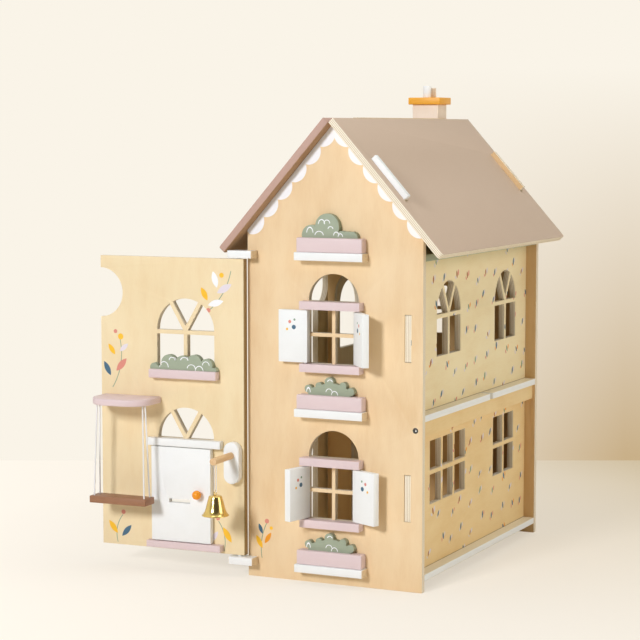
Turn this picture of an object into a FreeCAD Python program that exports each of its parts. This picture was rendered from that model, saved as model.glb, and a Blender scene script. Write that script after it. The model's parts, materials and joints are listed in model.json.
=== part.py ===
"""Wooden dollhouse: a tall two-storey plywood house with an attic.

Two pentagonal gables carry the floors, a slotted right wall, a partition and a fixed right roof panel.
The left roof panel is a flap on a ridge hinge. The open left side is shut by two door wings on corner pins,
and the front wing carries the front door, a swing and a hanging bell. Four shutters turn on pins.

Frame: X across the gable, Y from the front gable to the back one, +Z up. The origin is the centre of the
front gable's foot: X = 0 is the middle of the gable, Y = 0 the middle of its thickness, Z = 0 the ground.
"""

import FreeCAD, Part
import math
import os

os.makedirs("parts", exist_ok=True)
V = FreeCAD.Vector

# ---------------------------------------------------------------- driving dimensions, mm and degrees
ply = 9.0                       # thickness of every plywood board
gable_width = 255.0
house_depth = 450.0             # front face of the front gable to back face of the back gable
ridge_z = 614.6                 # underside of the roof at the ridge
roof_slope = 48.3
roof_length = 233.5             # down the slope, from the ridge to the eave
roof_overhang = 17.8            # past each gable
eave_corner_radius = 5.0
flap_thickness = 10.0
flap_clearance = 0.3            # between the closed flap and the gables it rests on
ridge_gap = 0.4                 # between the flap's end and the ridge line

tab_start = 71.0                # gable tab through the roof, measured down the slope from the ridge
tab_length = 70.0
tab_rise = 6.8                  # how far the tab stands above the roof
tab_clearance = 0.5
tab_slot_spare = 3.0            # free end of the roof's slot, below the tab

bottom_floor_z = 14.0           # undersides of the three floors
mid_floor_z = 225.0
attic_floor_z = 435.0
partition_y = 251.5
partition_inset = 1.0           # partition's front edge behind the gable's left edge
partition_clearance = 1.0
doorway_inset = 38.0            # lower doorway, from the partition's front edge
doorway_arch_width = 80.0
doorway_arch_spring = 132.0     # above the bottom floor
wide_arch_inset = 11.0          # upper arch, from the partition's front edge
wide_arch_post = 38.0           # what is left of the partition behind it
wide_arch_height = 171.0        # above the middle floor
wide_arch_corner = 40.0

wall_inset = 16.0               # right walls, behind the edge of the gables and floors
wall_tab_height = 61.0
wall_slot_clearance = 0.7       # round the tab in the gable's slot
rail_width = 12.0
rail_height = 21.0
bolt_radius = 2.0
bolt_head_radius = 3.9
bolt_head_height = 3.2
bolt_length = 34.0
socket_radius = 1.7
socket_depth = 2.2

gable_window_width = 73.0
gable_window_sill_z = (87.0, 296.0)     # top of the sill of the lower and upper window
gable_window_height = 72.5              # from the sill to the lintel
gable_transom = 38.3                    # middle of the cross bar above the sill
lintel_height = 10.8
lintel_width = 87.0
lintel_depth = 15.0
gable_bar = 4.8                         # window bars of the gables

shutter_width = 42.0
shutter_edge = 4.5                      # from the pin to the shutter's hinge edge
shutter_pin_x = 38.0
shutter_pin_y = 7.0                     # pin in front of the gable's face
shutter_gap = 1.5                       # above and below
shutter_pin_radius = 1.5
shutter_pin_length = 6.0
pin_clearance = 0.05                    # radial, in every running fit

box_width = 95.0
box_depth = 16.0
box_height = 19.2
base_width = 99.5
base_depth = 19.0
base_height = 10.8
box_base_z = (15.5, 225.0, 433.5)       # underside of the bottom, middle and top flower box
lobe_flats = 30                         # narrow flats round a lobe of a bush
# outlines of the bushes: each round lobe's middle, across and up from the box, and its radius
low_bush = ((-33, 7.6, 5.2), (-17.5, 12, 4.8), (-2.5, 17.8, 6.5), (17.5, 13.6, 5), (28.5, 6.3, 5.3))
tall_bush = ((-28.5, 3, 13.8), (-5.6, 14.6, 17.4), (15.5, 1.6, 8), (22.5, 1, 8.2), (30, 0.2, 8.6))
wide_bush = (
    (-44, 2.2, 6), (-21.5, 9.3, 11.2), (-1, 9.3, 10.3), (17, 10.2, 11.3), (35.5, 7.4, 9.4), (46.5, 0.8, 4.5)
)

side_bar = 5.5                          # bars of the wing's and the side walls' windows
arch_window_width = 87.0
arch_window_z = (302.0, 402.0)          # bottom and crown of the arched side windows
arch_window_y = (126.5, 347.5)
pane_window_z = (105.5, 191.5)          # bottom and top of the square-paned side windows
pane_window_y = (125.7, 343.7)
pane_window_width = (130.0, 85.0)
pane_columns = (3, 2)

hinge_side = 8.2                        # from the gable's left edge to the wings' vertical axis
hinge_out = 9.5                         # from the gable's outer face to that axis
hinge_block_beyond = 13.1               # hinge block, past the axis
hinge_block_width = 36.0
hinge_block_depth = 19.0
hinge_block_height = 10.0
hinge_block_foot_z = 17.5               # underside of the lower blocks
hinge_roof_gap = 3.6                    # from the upper blocks' outer ends to the flap above them
hinge_pin_radius = 2.5
hinge_pin_length = 12.0                 # inside the wing
wing_gap = (2.5, 1.5)                   # wing to the lower and the upper block
wing_hinge_edge = 9.5                   # from the axis to the wing's near edge
front_wing_length = 209.2               # from the axis to the free edge
rear_wing_length = 231.0
front_wing_turn = 2.2                   # stands this much past a right angle at rest
notch_radius = 34.0
notch_drop = 50.5                       # from the wings' tops to the notch's middle
rear_window_u = 118.3
rear_window_width = 72.5
rear_window_z = (281.0, 381.6)

door_axis_u = 78.8                      # middle of the wing's window and doorway
wing_window_width = 87.0
wing_window_z = (280.5, 376.8)
doorway_width = 80.0
doorway_z = (42.0, 174.5)
fanlight_width = 85.0
door_lintel_width = 112.5
door_lintel_height = 10.3
door_lintel_depth = 11.0
doorstep_height = 9.0
doorstep_depth = 12.0
planter_width = 102.0
planter_height = 12.2
planter_depth = 12.7
planter_z = 267.6                       # its underside, which puts its top just below the window's foot
leaf_width = 90.0
leaf_left_u = 127.5                     # hinge edge of the door leaf
leaf_edge = 5.0
leaf_stand_off = 1.0                    # from the wing's face to the leaf
leaf_gap = 1.3                          # above and below
leaf_hinge_round = 4.4
letter_slot = (32.0, 5.5)
letter_slot_at = (84.4, 99.5)
knob_radius = 6.3
ball_rings = 7                          # rings of a ball, from pole to pole
turned_flats = 24                       # narrow flats round a turned piece, half of them on a small one
knob_at = (54.5, 111.0)
knob_neck_radius = 3.0
knob_neck_length = 2.0

bell_plate_size = (23.0, 57.0, 12.0)
bell_plate_at = (5.4, 157.0)
peg_radius = 4.75
peg_length = 55.0
peg_z = 167.6
bell_out = 48.0                         # from the plate's face to the bell's axis
string_radius = 0.6
string_spread = 1.5                     # half the distance between the two strands
string_flats = 8                        # narrow flats round the string, and along the bottom of its loop
bell_eye_radius = 3.1                   # middle of the upright ring on the bell's crown
bell_eye_wire = 1.0                     # side of its square section
bell_height = 27.0
bell_top_z = 121.5
bell_crown_radius = 9.0
bell_waist_radius = 12.2
bell_flare_radius = 14.2
bell_rim_radius = 18.3
bell_shoulder = 1.4                     # drop of the crown's rounded edge
bell_waist_drop = 13.0                  # from the crown to where the wall starts to flare
bell_flare_drop = 20.5
bell_wall = 1.3
clapper_radius = 3.4
clapper_wire_radius = 0.8
clapper_drop = 18.5                     # from the crown's underside to the ball's middle
clapper_gap = 0.4

canopy_width = 87.2
canopy_u = 160.0                        # its middle, on the wing
canopy_depth = 58.0
canopy_corner = 30.0
canopy_thickness = 9.0
canopy_z = 232.0
swing_u = 159.0
swing_out = 37.0                        # from the wing's face to the swing's axis
seat_width = 86.4
seat_depth = 27.0
seat_thickness = 9.5
seat_z = 96.0
rope_radius = 1.1
rope_gap = 0.4                          # from the canopy to the ropes' ends
rope_top_u = 35.2                       # from the swing's middle, at the canopy
rope_top_shift = 2.0                    # front ropes to the left of that, rear ropes to the right
rope_foot_u = 38.5
rope_foot_out = 8.0

chimney_width = 40.5
chimney_depth = 35.3
chimney_from_ridge = 10.0
chimney_y = 400.2
chimney_top_z = 642.0
cap_overhang = 5.0
cap_height = 10.3
pot_radius = 6.0
pot_height = (17.0, 14.5)
pot_spacing = 20.0

ridge_hinge_length = 300.0
ridge_knuckles = 3
knuckle_radius = 2.6
knuckle_gap = 0.4
ridge_pin_radius = 1.2
leaf_plate = 1.0
leaf_plate_width = 6.0
ridge_leaf_gap = 0.3

# ---------------------------------------------------------------- places that follow from them
half_width = gable_width / 2
front_face = -ply / 2
back_gable_y = house_depth - ply
back_face = back_gable_y + ply / 2
inner_front = ply / 2
inner_back = back_gable_y - ply / 2
slope = math.radians(roof_slope)
down_slope = V(math.cos(slope), 0, -math.sin(slope))
off_slope = V(math.sin(slope), 0, math.cos(slope))
eave_z = ridge_z - half_width * math.tan(slope)
wall_outer = half_width - wall_inset
wall_inner = wall_outer - ply
rail_centre_x = wall_outer + rail_width / 2
rail_centre_z = mid_floor_z - rail_height / 2
front_hinge_y = front_face - hinge_out
rear_hinge_y = back_face + hinge_out
hinge_x = -half_width - hinge_side
hinge_block_end = -hinge_x + hinge_block_beyond
flap_underside_z = ridge_z - hinge_block_end * math.tan(slope)
hinge_block_z = (hinge_block_foot_z, flap_underside_z - hinge_roof_gap - hinge_block_height)
wing_bottom = hinge_block_z[0] + hinge_block_height + wing_gap[0]
wing_top = hinge_block_z[1] - wing_gap[1]
notch_z = wing_top - notch_drop
wing_face = -ply / 2
ridge_axis_rise = (knuckle_radius + ridge_leaf_gap) / math.sin(slope)
ridge_axis_z = ridge_z + ridge_axis_rise


# ---------------------------------------------------------------- shapes
def block(x0, x1, y0, y1, z0, z1):
    return Part.makeBox(x1 - x0, y1 - y0, z1 - z0, V(x0, y0, z0))


def flat(corners):
    return Part.Face(Part.makePolygon(corners + corners[:1]))


def polygon(points):
    """A face in the XZ plane from its corners."""
    return flat([V(x, 0, z) for x, z in points])


def circle(x, z, radius, count):
    """The corners of a circle drawn with narrow flats."""
    turns = [math.tau * i / count for i in range(count)]
    return [(x + radius * math.cos(a), z + radius * math.sin(a)) for a in turns]


def arch_face(centre, width, bottom, spring):
    """A doorway or window outline with a half-round head that springs at the given height."""
    r = width / 2
    left, right = centre - r, centre + r
    edges = [
        Part.makeLine(V(left, 0, bottom), V(right, 0, bottom)),
        Part.makeLine(V(right, 0, bottom), V(right, 0, spring)),
        Part.Arc(V(right, 0, spring), V(centre, 0, spring + r), V(left, 0, spring)).toShape(),
        Part.makeLine(V(left, 0, spring), V(left, 0, bottom)),
    ]
    return Part.Face(Part.Wire(edges))


def fan_face(centre, width, spring):
    """The half-round alone."""
    r = width / 2
    left, right = V(centre - r, 0, spring), V(centre + r, 0, spring)
    edges = [Part.makeLine(left, right), Part.Arc(right, V(centre, 0, spring + r), left).toShape()]
    return Part.Face(Part.Wire(edges))


def board(face, y0, thickness=ply):
    """A face of the XZ plane made a board that starts at y0."""
    solid = face.extrude(V(0, thickness, 0))
    solid.translate(V(0, y0, 0))
    return solid


def cutter(face):
    """A face of the XZ plane made long enough to cut through any upright board near Y = 0."""
    return board(face, -2 * ply, 4 * ply)


def bar(x0, x1, z0, z1):
    return block(x0, x1, -3 * ply, 3 * ply, z0, z1)


def fan_bars(centre, spring, radius, width):
    """The V of two bars that rises from the middle of an arched window's transom."""
    bars = []
    for lean in (-30, 30):
        upright = bar(centre - width / 2, centre + width / 2, spring - width / 2, spring + radius + width)
        upright.rotate(V(centre, 0, spring), V(0, 1, 0), lean)
        bars.append(upright)
    return bars


def arched_window(centre, width, bottom, crown):
    """What is cut out for an arched window with a transom, one upright and a V of bars."""
    spring = crown - width / 2
    opening = cutter(arch_face(centre, width, bottom, spring))
    bars = fan_bars(centre, spring, width / 2, side_bar)
    bars.append(bar(centre - width, centre + width, spring - side_bar, spring))
    bars.append(bar(centre - side_bar / 2, centre + side_bar / 2, bottom - ply, spring))
    return opening.cut(bars)


def pane_window(centre, width, bottom, top, columns):
    """What is cut out for a square window of two rows of panes."""
    opening = bar(centre - width / 2, centre + width / 2, bottom, top)
    middle = (bottom + top) / 2
    bars = [bar(centre - width, centre + width, middle - side_bar / 2, middle + side_bar / 2)]
    for i in range(1, columns):
        x = centre - width / 2 + width * i / columns
        bars.append(bar(x - side_bar / 2, x + side_bar / 2, bottom - ply, top + ply))
    return opening.cut(bars)


def upright_pin(x, y, z0, z1, radius):
    return Part.makeCylinder(radius, z1 - z0, V(x, y, z0))


def bush(lobes, thickness=ply):
    """A bush sawn from a board: round lobes in a row, filled below their middles down to z = 0."""
    crown = [(x, z) for x, z, radius in lobes]
    foot = [(lobes[-1][0], -thickness), (lobes[0][0], -thickness)]
    body = board(polygon(crown + foot), 0, thickness)
    body = body.fuse([board(polygon(circle(x, z, r, lobe_flats)), 0, thickness) for x, z, r in lobes])
    reach = lobes[-1][0] - lobes[0][0]
    below = block(-reach, reach, -thickness, 2 * thickness, -reach, 0)
    return body.cut(below).removeSplitter()


def turned(shape, axis_x, axis_y, degrees):
    shape.rotate(V(axis_x, axis_y, 0), V(0, 0, 1), degrees)
    return shape


def save(name, shape):
    solids = shape.Solids
    if len(solids) != 1 or not solids[0].isValid():
        raise ValueError(f"{name}: {len(solids)} solids")
    solids[0].exportStep(f"parts/{name}.step")
    print(f"{name:24s} {solids[0].Volume / 1000:9.2f} cm3")


# ---------------------------------------------------------------- gables, floors and walls
def gable_window_cut():
    """Two arched windows: a cross of bars below each lintel and an open half-round above it."""
    cuts = []
    for sill_z in gable_window_sill_z:
        head = sill_z + gable_window_height
        r = gable_window_width / 2
        opening = bar(-r, r, sill_z, head)
        middle = sill_z + gable_transom
        cross = [
            bar(-r, r, middle - gable_bar / 2, middle + gable_bar / 2),
            bar(-gable_bar / 2, gable_bar / 2, sill_z, head),
        ]
        cuts += [opening.cut(cross), cutter(fan_face(0, gable_window_width, head + lintel_height))]
    return cuts


def gable(outward):
    """A gable at Y = 0 whose outer side looks along outward, -1 for the front and +1 for the back."""
    ridge = V(0, 0, ridge_z)
    drop = flap_clearance / math.cos(slope)
    tab_top = off_slope * (ply + tab_rise)
    first, last = ridge + down_slope * tab_start, ridge + down_slope * (tab_start + tab_length)
    rake = [(half_width, eave_z)]
    for point in (last, last + tab_top, first + tab_top, first, ridge):
        rake.append((point.x, point.z))
    left_rake = [(0, ridge_z - drop), (-half_width, eave_z - drop)]
    body = board(polygon([(-half_width, 0), (half_width, 0)] + rake + left_rake), front_face)
    cuts = gable_window_cut()
    c = wall_slot_clearance
    for z0 in wall_tab_bottoms():
        cuts.append(bar(wall_inner - c, wall_outer, z0 - c, z0 + wall_tab_height + c))
    hole = Part.makeCylinder(bolt_radius, 4 * ply, V(rail_centre_x, -2 * ply, rail_centre_z), V(0, 1, 0))
    head_start = outward * (ply / 2 - bolt_head_height)
    sink = Part.makeCylinder(
        bolt_head_radius, ply, V(rail_centre_x, head_start, rail_centre_z), V(0, outward, 0)
    )
    return body.cut(cuts + [hole, sink])


def wall_tab_bottoms():
    """Undersides of the lower and upper right wall's end tabs."""
    bottoms = []
    for z0, z1 in ((bottom_floor_z + ply, mid_floor_z), (mid_floor_z + ply, attic_floor_z)):
        bottoms.append((z0 + z1 - wall_tab_height) / 2)
    return bottoms


def house_shell():
    front = gable(-1)
    save("front_gable", front)
    back = gable(1)
    back.translate(V(0, back_gable_y, 0))
    save("back_gable", back)

    for name, z in (("bottom_floor", bottom_floor_z), ("attic_floor", attic_floor_z)):
        save(name, block(-half_width, half_width, inner_front, inner_back, z, z + ply))
    slot = ply / 2 + partition_clearance
    spans = (("front", inner_front, partition_y - slot), ("back", partition_y + slot, inner_back))
    for name, y0, y1 in spans:
        floor = block(-half_width, half_width, y0, y1, mid_floor_z, mid_floor_z + ply)
        save(f"mid_floor_{name}", floor)


def partition():
    """One board from the bottom floor to the attic, with an arched doorway on each storey."""
    front, back = -half_width + partition_inset, wall_inner
    floor_z, upper_z = bottom_floor_z + ply, mid_floor_z + ply
    body = block(front, back, -ply / 2, ply / 2, floor_z, attic_floor_z)
    middle = front + doorway_inset + doorway_arch_width / 2
    doorway = cutter(arch_face(middle, doorway_arch_width, floor_z - ply, floor_z + doorway_arch_spring))
    wide = bar(front + wide_arch_inset, back - wide_arch_post, upper_z, upper_z + wide_arch_height)
    top = upper_z + wide_arch_height
    corners = [e for e in wide.Edges if along_y(e) and abs(e.Vertexes[0].Z - top) < 1e-6]
    body = body.cut([doorway, wide.makeFillet(wide_arch_corner, corners)])
    body.translate(V(0, partition_y, 0))
    save("partition", body)


def along_y(edge):
    a, b = edge.Vertexes[0].Point, edge.Vertexes[-1].Point
    return abs(a.x - b.x) < 1e-6 and abs(a.z - b.z) < 1e-6 and abs(a.y - b.y) > 1e-6


def along_z(edge):
    a, b = edge.Vertexes[0].Point, edge.Vertexes[-1].Point
    return abs(a.x - b.x) < 1e-6 and abs(a.y - b.y) < 1e-6 and abs(a.z - b.z) > 1e-6


def side_walls():
    """Two walls built along X, then turned to run along Y. Their end tabs pass through the gables."""
    storeys = (
        ("side_wall_lower", bottom_floor_z + ply, mid_floor_z),
        ("side_wall_upper", mid_floor_z + ply, attic_floor_z),
    )
    for (name, z0, z1), tab_z in zip(storeys, wall_tab_bottoms()):
        body = block(inner_front, inner_back, -ply / 2, ply / 2, z0, z1)
        tab = block(front_face, back_face, -ply / 2, ply / 2, tab_z, tab_z + wall_tab_height)
        if name == "side_wall_lower":
            cuts = [
                pane_window(y, width, pane_window_z[0], pane_window_z[1], columns)
                for y, width, columns in zip(pane_window_y, pane_window_width, pane_columns)
            ]
        else:
            cuts = [arched_window(y, arch_window_width, *arch_window_z) for y in arch_window_y]
        body = body.fuse(tab).removeSplitter().cut(cuts)
        body.rotate(V(0, 0, 0), V(0, 0, 1), 90)
        body.translate(V(wall_inner + ply / 2, 0, 0))
        save(name, body)


def rail_and_bolts():
    """The rail under the middle floor's edge, and the socket-head bolt in each of its ends."""
    rail = block(
        wall_outer, wall_outer + rail_width, inner_front, inner_back, mid_floor_z - rail_height, mid_floor_z
    )
    for name, face, inward in (("front", front_face, 1), ("back", back_face, -1)):
        start = V(rail_centre_x, face, rail_centre_z)
        along = V(0, inward, 0)
        shank = Part.makeCylinder(bolt_radius, bolt_length, start, along)
        head = Part.makeCylinder(bolt_head_radius, bolt_head_height, start, along)
        hexagon = Part.makePolygon([
            start + V(socket_radius * math.cos(a), 0, socket_radius * math.sin(a))
            for a in [math.radians(60 * i) for i in range(7)]
        ])
        socket = Part.Face(hexagon).extrude(along * socket_depth)
        save(f"rail_bolt_{name}", shank.fuse(head).removeSplitter().cut(socket))
        rail = rail.cut(shank)
    save("support_rail", rail)


# ---------------------------------------------------------------- roof
def roof_slab(x0, x1, thickness, eave_x):
    """A roof panel lying flat: x runs down the slope from the ridge, z is its thickness."""
    slab = block(x0, x1, front_face - roof_overhang, back_face + roof_overhang, 0, thickness)
    corners = [e for e in slab.Edges if along_z(e) and abs(e.Vertexes[0].X - eave_x) < 1e-6]
    return slab.makeFillet(eave_corner_radius, corners)


def onto_slope(shape, side):
    """Tips a flat roof piece onto the right (+1) or left (-1) slope and lifts it to the ridge."""
    shape.rotate(V(0, 0, 0), V(0, 1, 0), side * roof_slope)
    shape.translate(V(0, 0, ridge_z))
    return shape


def roof_panel():
    slab = roof_slab(0, roof_length, ply, roof_length)
    c = tab_clearance
    for y in (0, back_gable_y):
        x0, x1 = tab_start - c, tab_start + tab_length + tab_slot_spare
        slab = slab.cut(block(x0, x1, y - ply / 2 - c, y + ply / 2 + c, -ply, 2 * ply))
    save("roof_panel", onto_slope(slab, 1))


def roof_flap():
    slab = roof_slab(-roof_length, -ridge_gap, flap_thickness, -roof_length)
    save("roof_flap", onto_slope(slab, -1))


def chimney():
    """A block cut to the flap's slope, with a cap and two round pots, all carried by the flap."""
    x1 = -chimney_from_ridge
    x0 = x1 - chimney_width
    y0, y1 = chimney_y - chimney_depth / 2, chimney_y + chimney_depth / 2
    base_z = ridge_z - roof_length * math.sin(slope)
    body = block(x0, x1, y0, y1, base_z, chimney_top_z)
    under = block(-roof_length, roof_length, y0 - 1, y1 + 1, -roof_length, flap_thickness)
    save("chimney_block", body.cut(onto_slope(under, -1)))
    o = cap_overhang
    cap_top = chimney_top_z + cap_height
    save("chimney_cap", block(x0 - o, x1 + o, y0 - o, y1 + o, chimney_top_z, cap_top))
    for name, side, height in (("front", -1, pot_height[0]), ("back", 1, pot_height[1])):
        y = chimney_y + side * pot_spacing / 2
        pot = turned_solid([(pot_radius, height), (pot_radius, 0)])
        pot.translate(V((x0 + x1) / 2, y, cap_top))
        save(f"chimney_pot_{name}", pot)


def ridge_hinge():
    """A knuckle hinge in the V of the ridge: one leaf on each panel's end, the pin in the fixed one."""
    middle = (front_face + back_face) / 2
    start = middle - ridge_hinge_length / 2
    pitch = ridge_hinge_length / ridge_knuckles
    reach = knuckle_radius + ridge_leaf_gap
    axis = V(0, 0, ridge_axis_z)
    leaves = {}
    for side in (1, -1):
        plate = block(0, leaf_plate, start, start + ridge_hinge_length, 0, leaf_plate_width)
        clear = math.sqrt(knuckle_radius ** 2 - (reach - leaf_plate) ** 2) + ridge_leaf_gap
        low, high = start - knuckle_radius, start + ridge_hinge_length + knuckle_radius
        leaves[side] = [plate.cut(block(-leaf_plate, reach, low, high, -leaf_plate, clear))]
    for i in range(ridge_knuckles):
        side = 1 if i % 2 == 0 else -1
        y0 = start + i * pitch + knuckle_gap / 2
        y1 = start + (i + 1) * pitch - knuckle_gap / 2
        leaves[side].append(block(0, leaf_plate, y0, y1, 0, leaf_plate_width))
        leaves[side].append(Part.makeCylinder(knuckle_radius, y1 - y0, V(reach, y0, 0), V(0, 1, 0)))
    pin_start, along = V(reach, start, 0), V(0, 1, 0)
    pin = Part.makeCylinder(ridge_pin_radius, ridge_hinge_length, pin_start, along)
    bore = Part.makeCylinder(ridge_pin_radius + pin_clearance, ridge_hinge_length, pin_start, along)
    fixed = leaves[1][0].fuse(leaves[1][1:] + [pin]).removeSplitter()
    moving = leaves[-1][0].fuse(leaves[-1][1:]).cut(bore).removeSplitter()
    save("ridge_leaf_fixed", onto_ridge(fixed, 1, reach, axis))
    save("ridge_leaf_moving", onto_ridge(moving, -1, reach, axis))


def onto_ridge(body, side, reach, axis):
    """Moves a hinge leaf, drawn with its plate on x = 0, so that its knuckles lie on the ridge axis."""
    body.translate(V(-reach, 0, 0))
    if side == 1:
        body = body.mirror(V(0, 0, 0), V(1, 0, 0))
    body.rotate(V(0, 0, 0), V(0, 1, 0), side * roof_slope)
    body.translate(axis)
    return body


# ---------------------------------------------------------------- fittings of the front gable
def window_fittings():
    """A lintel and a sill at each gable window, bored for the shutters' pins, and two shutters."""
    storeys = (("lower", gable_window_sill_z[0]), ("upper", gable_window_sill_z[1]))
    rest = {"lower": (104.0, 155.0), "upper": (180.0, 130.0)}
    pin_y = front_face - shutter_pin_y
    for storey, sill_z in storeys:
        head = sill_z + gable_window_height
        rails = (("sill", sill_z - lintel_height, sill_z), ("lintel", head, head + lintel_height))
        for name, z0, z1 in rails:
            half = lintel_width / 2
            rail = block(-half, half, front_face - lintel_depth, front_face, z0, z1)
            reach, bore_radius = shutter_pin_length + shutter_gap, shutter_pin_radius + pin_clearance
            for side in (-1, 1):
                x = side * shutter_pin_x
                rail = rail.cut(upright_pin(x, pin_y, sill_z - reach, head + reach, bore_radius))
            save(f"{storey}_{name}", rail)
        for name, side, opened in zip(("left", "right"), (-1, 1), rest[storey]):
            save(f"{storey}_shutter_{name}", shutter(side, sill_z, head, opened))


def shutter(side, sill_z, head, opened):
    """A shutter with its two pins, closed over the window and then turned open about them."""
    x, y = side * shutter_pin_x, front_face - shutter_pin_y
    z0, z1 = sill_z + shutter_gap, head - shutter_gap
    near = x + side * shutter_edge
    far = near - side * shutter_width
    body = block(min(near, far), max(near, far), y - ply / 2, y + ply / 2, z0, z1)
    reach = shutter_pin_length
    body = body.fuse(upright_pin(x, y, z0 - reach, z1 + reach, shutter_pin_radius))
    return turned(body.removeSplitter(), x, y, side * opened)


def flower_boxes():
    boxes = zip(("bottom", "middle", "top"), box_base_z, (low_bush, low_bush, tall_bush))
    for name, z0, lobes in boxes:
        half = base_width / 2
        base = block(-half, half, front_face - base_depth, front_face, z0, z0 + base_height)
        save(f"box_base_{name}", base)
        half = box_width / 2
        z1 = z0 + base_height
        z2 = z1 + box_height
        save(f"flower_box_{name}", block(-half, half, front_face - box_depth, front_face, z1, z2))
        leaves = bush(lobes)
        leaves.translate(V(0, front_face - ply, z2))
        save(f"bush_{name}", leaves)


def hinge_blocks():
    """The four white blocks that hold the wings' pins, on the gables' outer faces."""
    gables = (("front", front_face, -1), ("back", back_face, 1))
    for name, face, outward in gables:
        far = face + outward * hinge_block_depth
        axis_y = face + outward * hinge_out
        for level, z0, gap in zip(("bottom", "top"), hinge_block_z, wing_gap):
            y0, y1 = min(face, far), max(face, far)
            z1 = z0 + hinge_block_height
            x0 = hinge_x - hinge_block_beyond
            body = block(x0, x0 + hinge_block_width, y0, y1, z0, z1)
            reach = gap + hinge_pin_length
            if level == "bottom":
                pin = upright_pin(hinge_x, axis_y, z0, z1 + reach, hinge_pin_radius)
            else:
                pin = upright_pin(hinge_x, axis_y, z0 - reach, z1, hinge_pin_radius)
            save(f"hinge_block_{name}_{level}", body.fuse(pin).removeSplitter())


# ---------------------------------------------------------------- door wings
def wing_panel(length, cuts):
    """A wing's board, drawn with its hinge axis on the origin, its free edge at x = -length and its
    outer face at y = -ply / 2, with the half-round finger notch and the bores for the hinge pins."""
    body = block(-length, wing_hinge_edge, wing_face, -wing_face, wing_bottom, wing_top)
    notch = Part.makeCylinder(notch_radius, 4 * ply, V(-length, -2 * ply, notch_z), V(0, 1, 0))
    bore_radius = hinge_pin_radius + pin_clearance
    depth = hinge_pin_length + 1
    bores = [
        upright_pin(0, 0, wing_bottom - 1, wing_bottom + depth, bore_radius),
        upright_pin(0, 0, wing_top - depth, wing_top + 1, bore_radius),
    ]
    return body.cut(cuts + [notch] + bores)


def on_front_wing(shape):
    """From the wing's own axes to the house: it stands open beside the gable, facing forwards."""
    shape.rotate(V(0, 0, 0), V(0, 0, 1), front_wing_turn)
    shape.translate(V(hinge_x, front_hinge_y, 0))
    return shape


def front_wing():
    window = arched_window(-door_axis_u, wing_window_width, *wing_window_z)
    spring = doorway_z[1] + door_lintel_height
    doorway = bar(-door_axis_u - doorway_width / 2, -door_axis_u + doorway_width / 2, *doorway_z)
    fan = cutter(fan_face(-door_axis_u, fanlight_width, spring))
    fan = fan.cut(fan_bars(-door_axis_u, spring, fanlight_width / 2, side_bar))
    save("front_wing", on_front_wing(wing_panel(front_wing_length, [window, doorway, fan])))

    half = planter_width / 2
    z1 = planter_z + planter_height
    x0, x1 = -door_axis_u - half, -door_axis_u + half
    planter = block(x0, x1, wing_face - planter_depth, wing_face, planter_z, z1)
    save("wing_planter", on_front_wing(planter))
    leaves = bush(wide_bush)
    leaves.translate(V(-door_axis_u, wing_face - ply, z1))
    save("wing_bush", on_front_wing(leaves))


def front_door():
    """The lintel and step that hold the door's pins, and the leaf with its knob."""
    pin_x = -(leaf_left_u - leaf_edge)
    pin_y = wing_face - leaf_stand_off - ply / 2
    z0, z1 = doorway_z[0] + leaf_gap, doorway_z[1] - leaf_gap
    reach = shutter_pin_length
    deep = reach + leaf_gap + 1
    bore = upright_pin(
        pin_x, pin_y, doorway_z[0] - deep, doorway_z[1] + deep, shutter_pin_radius + pin_clearance
    )
    half = door_lintel_width / 2
    x0, x1 = -door_axis_u - half, -door_axis_u + half
    lintel_top = doorway_z[1] + door_lintel_height
    lintel = block(x0, x1, wing_face - door_lintel_depth, wing_face, doorway_z[1], lintel_top)
    save("door_lintel", on_front_wing(lintel.cut(bore)))
    step_z = doorway_z[0] - doorstep_height
    step = block(x0, x1, wing_face - doorstep_depth, wing_face, step_z, doorway_z[0])
    save("doorstep", on_front_wing(step.cut(bore)))

    left = -leaf_left_u
    back = wing_face - leaf_stand_off
    leaf = block(left, left + leaf_width, back - ply, back, z0, z1)
    upright = [e for e in leaf.Edges if along_z(e)]
    hinge_edge = [e for e in upright if e.Vertexes[0].Point.distanceToPoint(V(left, back, z0)) < leaf_edge
                  or e.Vertexes[0].Point.distanceToPoint(V(left, back, z1)) < leaf_edge]
    leaf = leaf.makeFillet(leaf_hinge_round, hinge_edge)
    leaf = leaf.fuse(upright_pin(pin_x, pin_y, z0 - reach, z1 + reach, shutter_pin_radius))
    u, z = letter_slot_at
    w, h = letter_slot
    leaf = leaf.cut(bar(-u - w / 2, -u + w / 2, z - h / 2, z + h / 2))
    save("door_leaf", on_front_wing(leaf.removeSplitter()))

    u, z = knob_at
    face = back - ply
    centre_y = face - knob_neck_length - math.sqrt(knob_radius ** 2 - knob_neck_radius ** 2)
    knob = ball(knob_radius)
    knob.rotate(V(0, 0, 0), V(1, 0, 0), 90)
    knob.translate(V(-u, centre_y, z))
    neck = board(polygon(circle(-u, z, knob_neck_radius, turned_flats)), centre_y, face - centre_y)
    save("door_knob", on_front_wing(knob.fuse(neck).removeSplitter()))


def bell_bracket():
    u, z = bell_plate_at
    width, height, thickness = bell_plate_size
    r = width / 2
    rise = height / 2 - r
    plate = block(-u - r, -u + r, wing_face - thickness, wing_face, z - rise, z + rise)
    ends = [
        Part.makeCylinder(r, thickness, V(-u, wing_face - thickness, z + side * rise), V(0, 1, 0))
        for side in (-1, 1)
    ]
    save("bell_plate", on_front_wing(plate.fuse(ends).removeSplitter()))

    face = wing_face - thickness
    peg = board(polygon(circle(-u, peg_z, peg_radius, turned_flats)), face - peg_length, peg_length)
    save("bell_peg", on_front_wing(peg))


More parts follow.
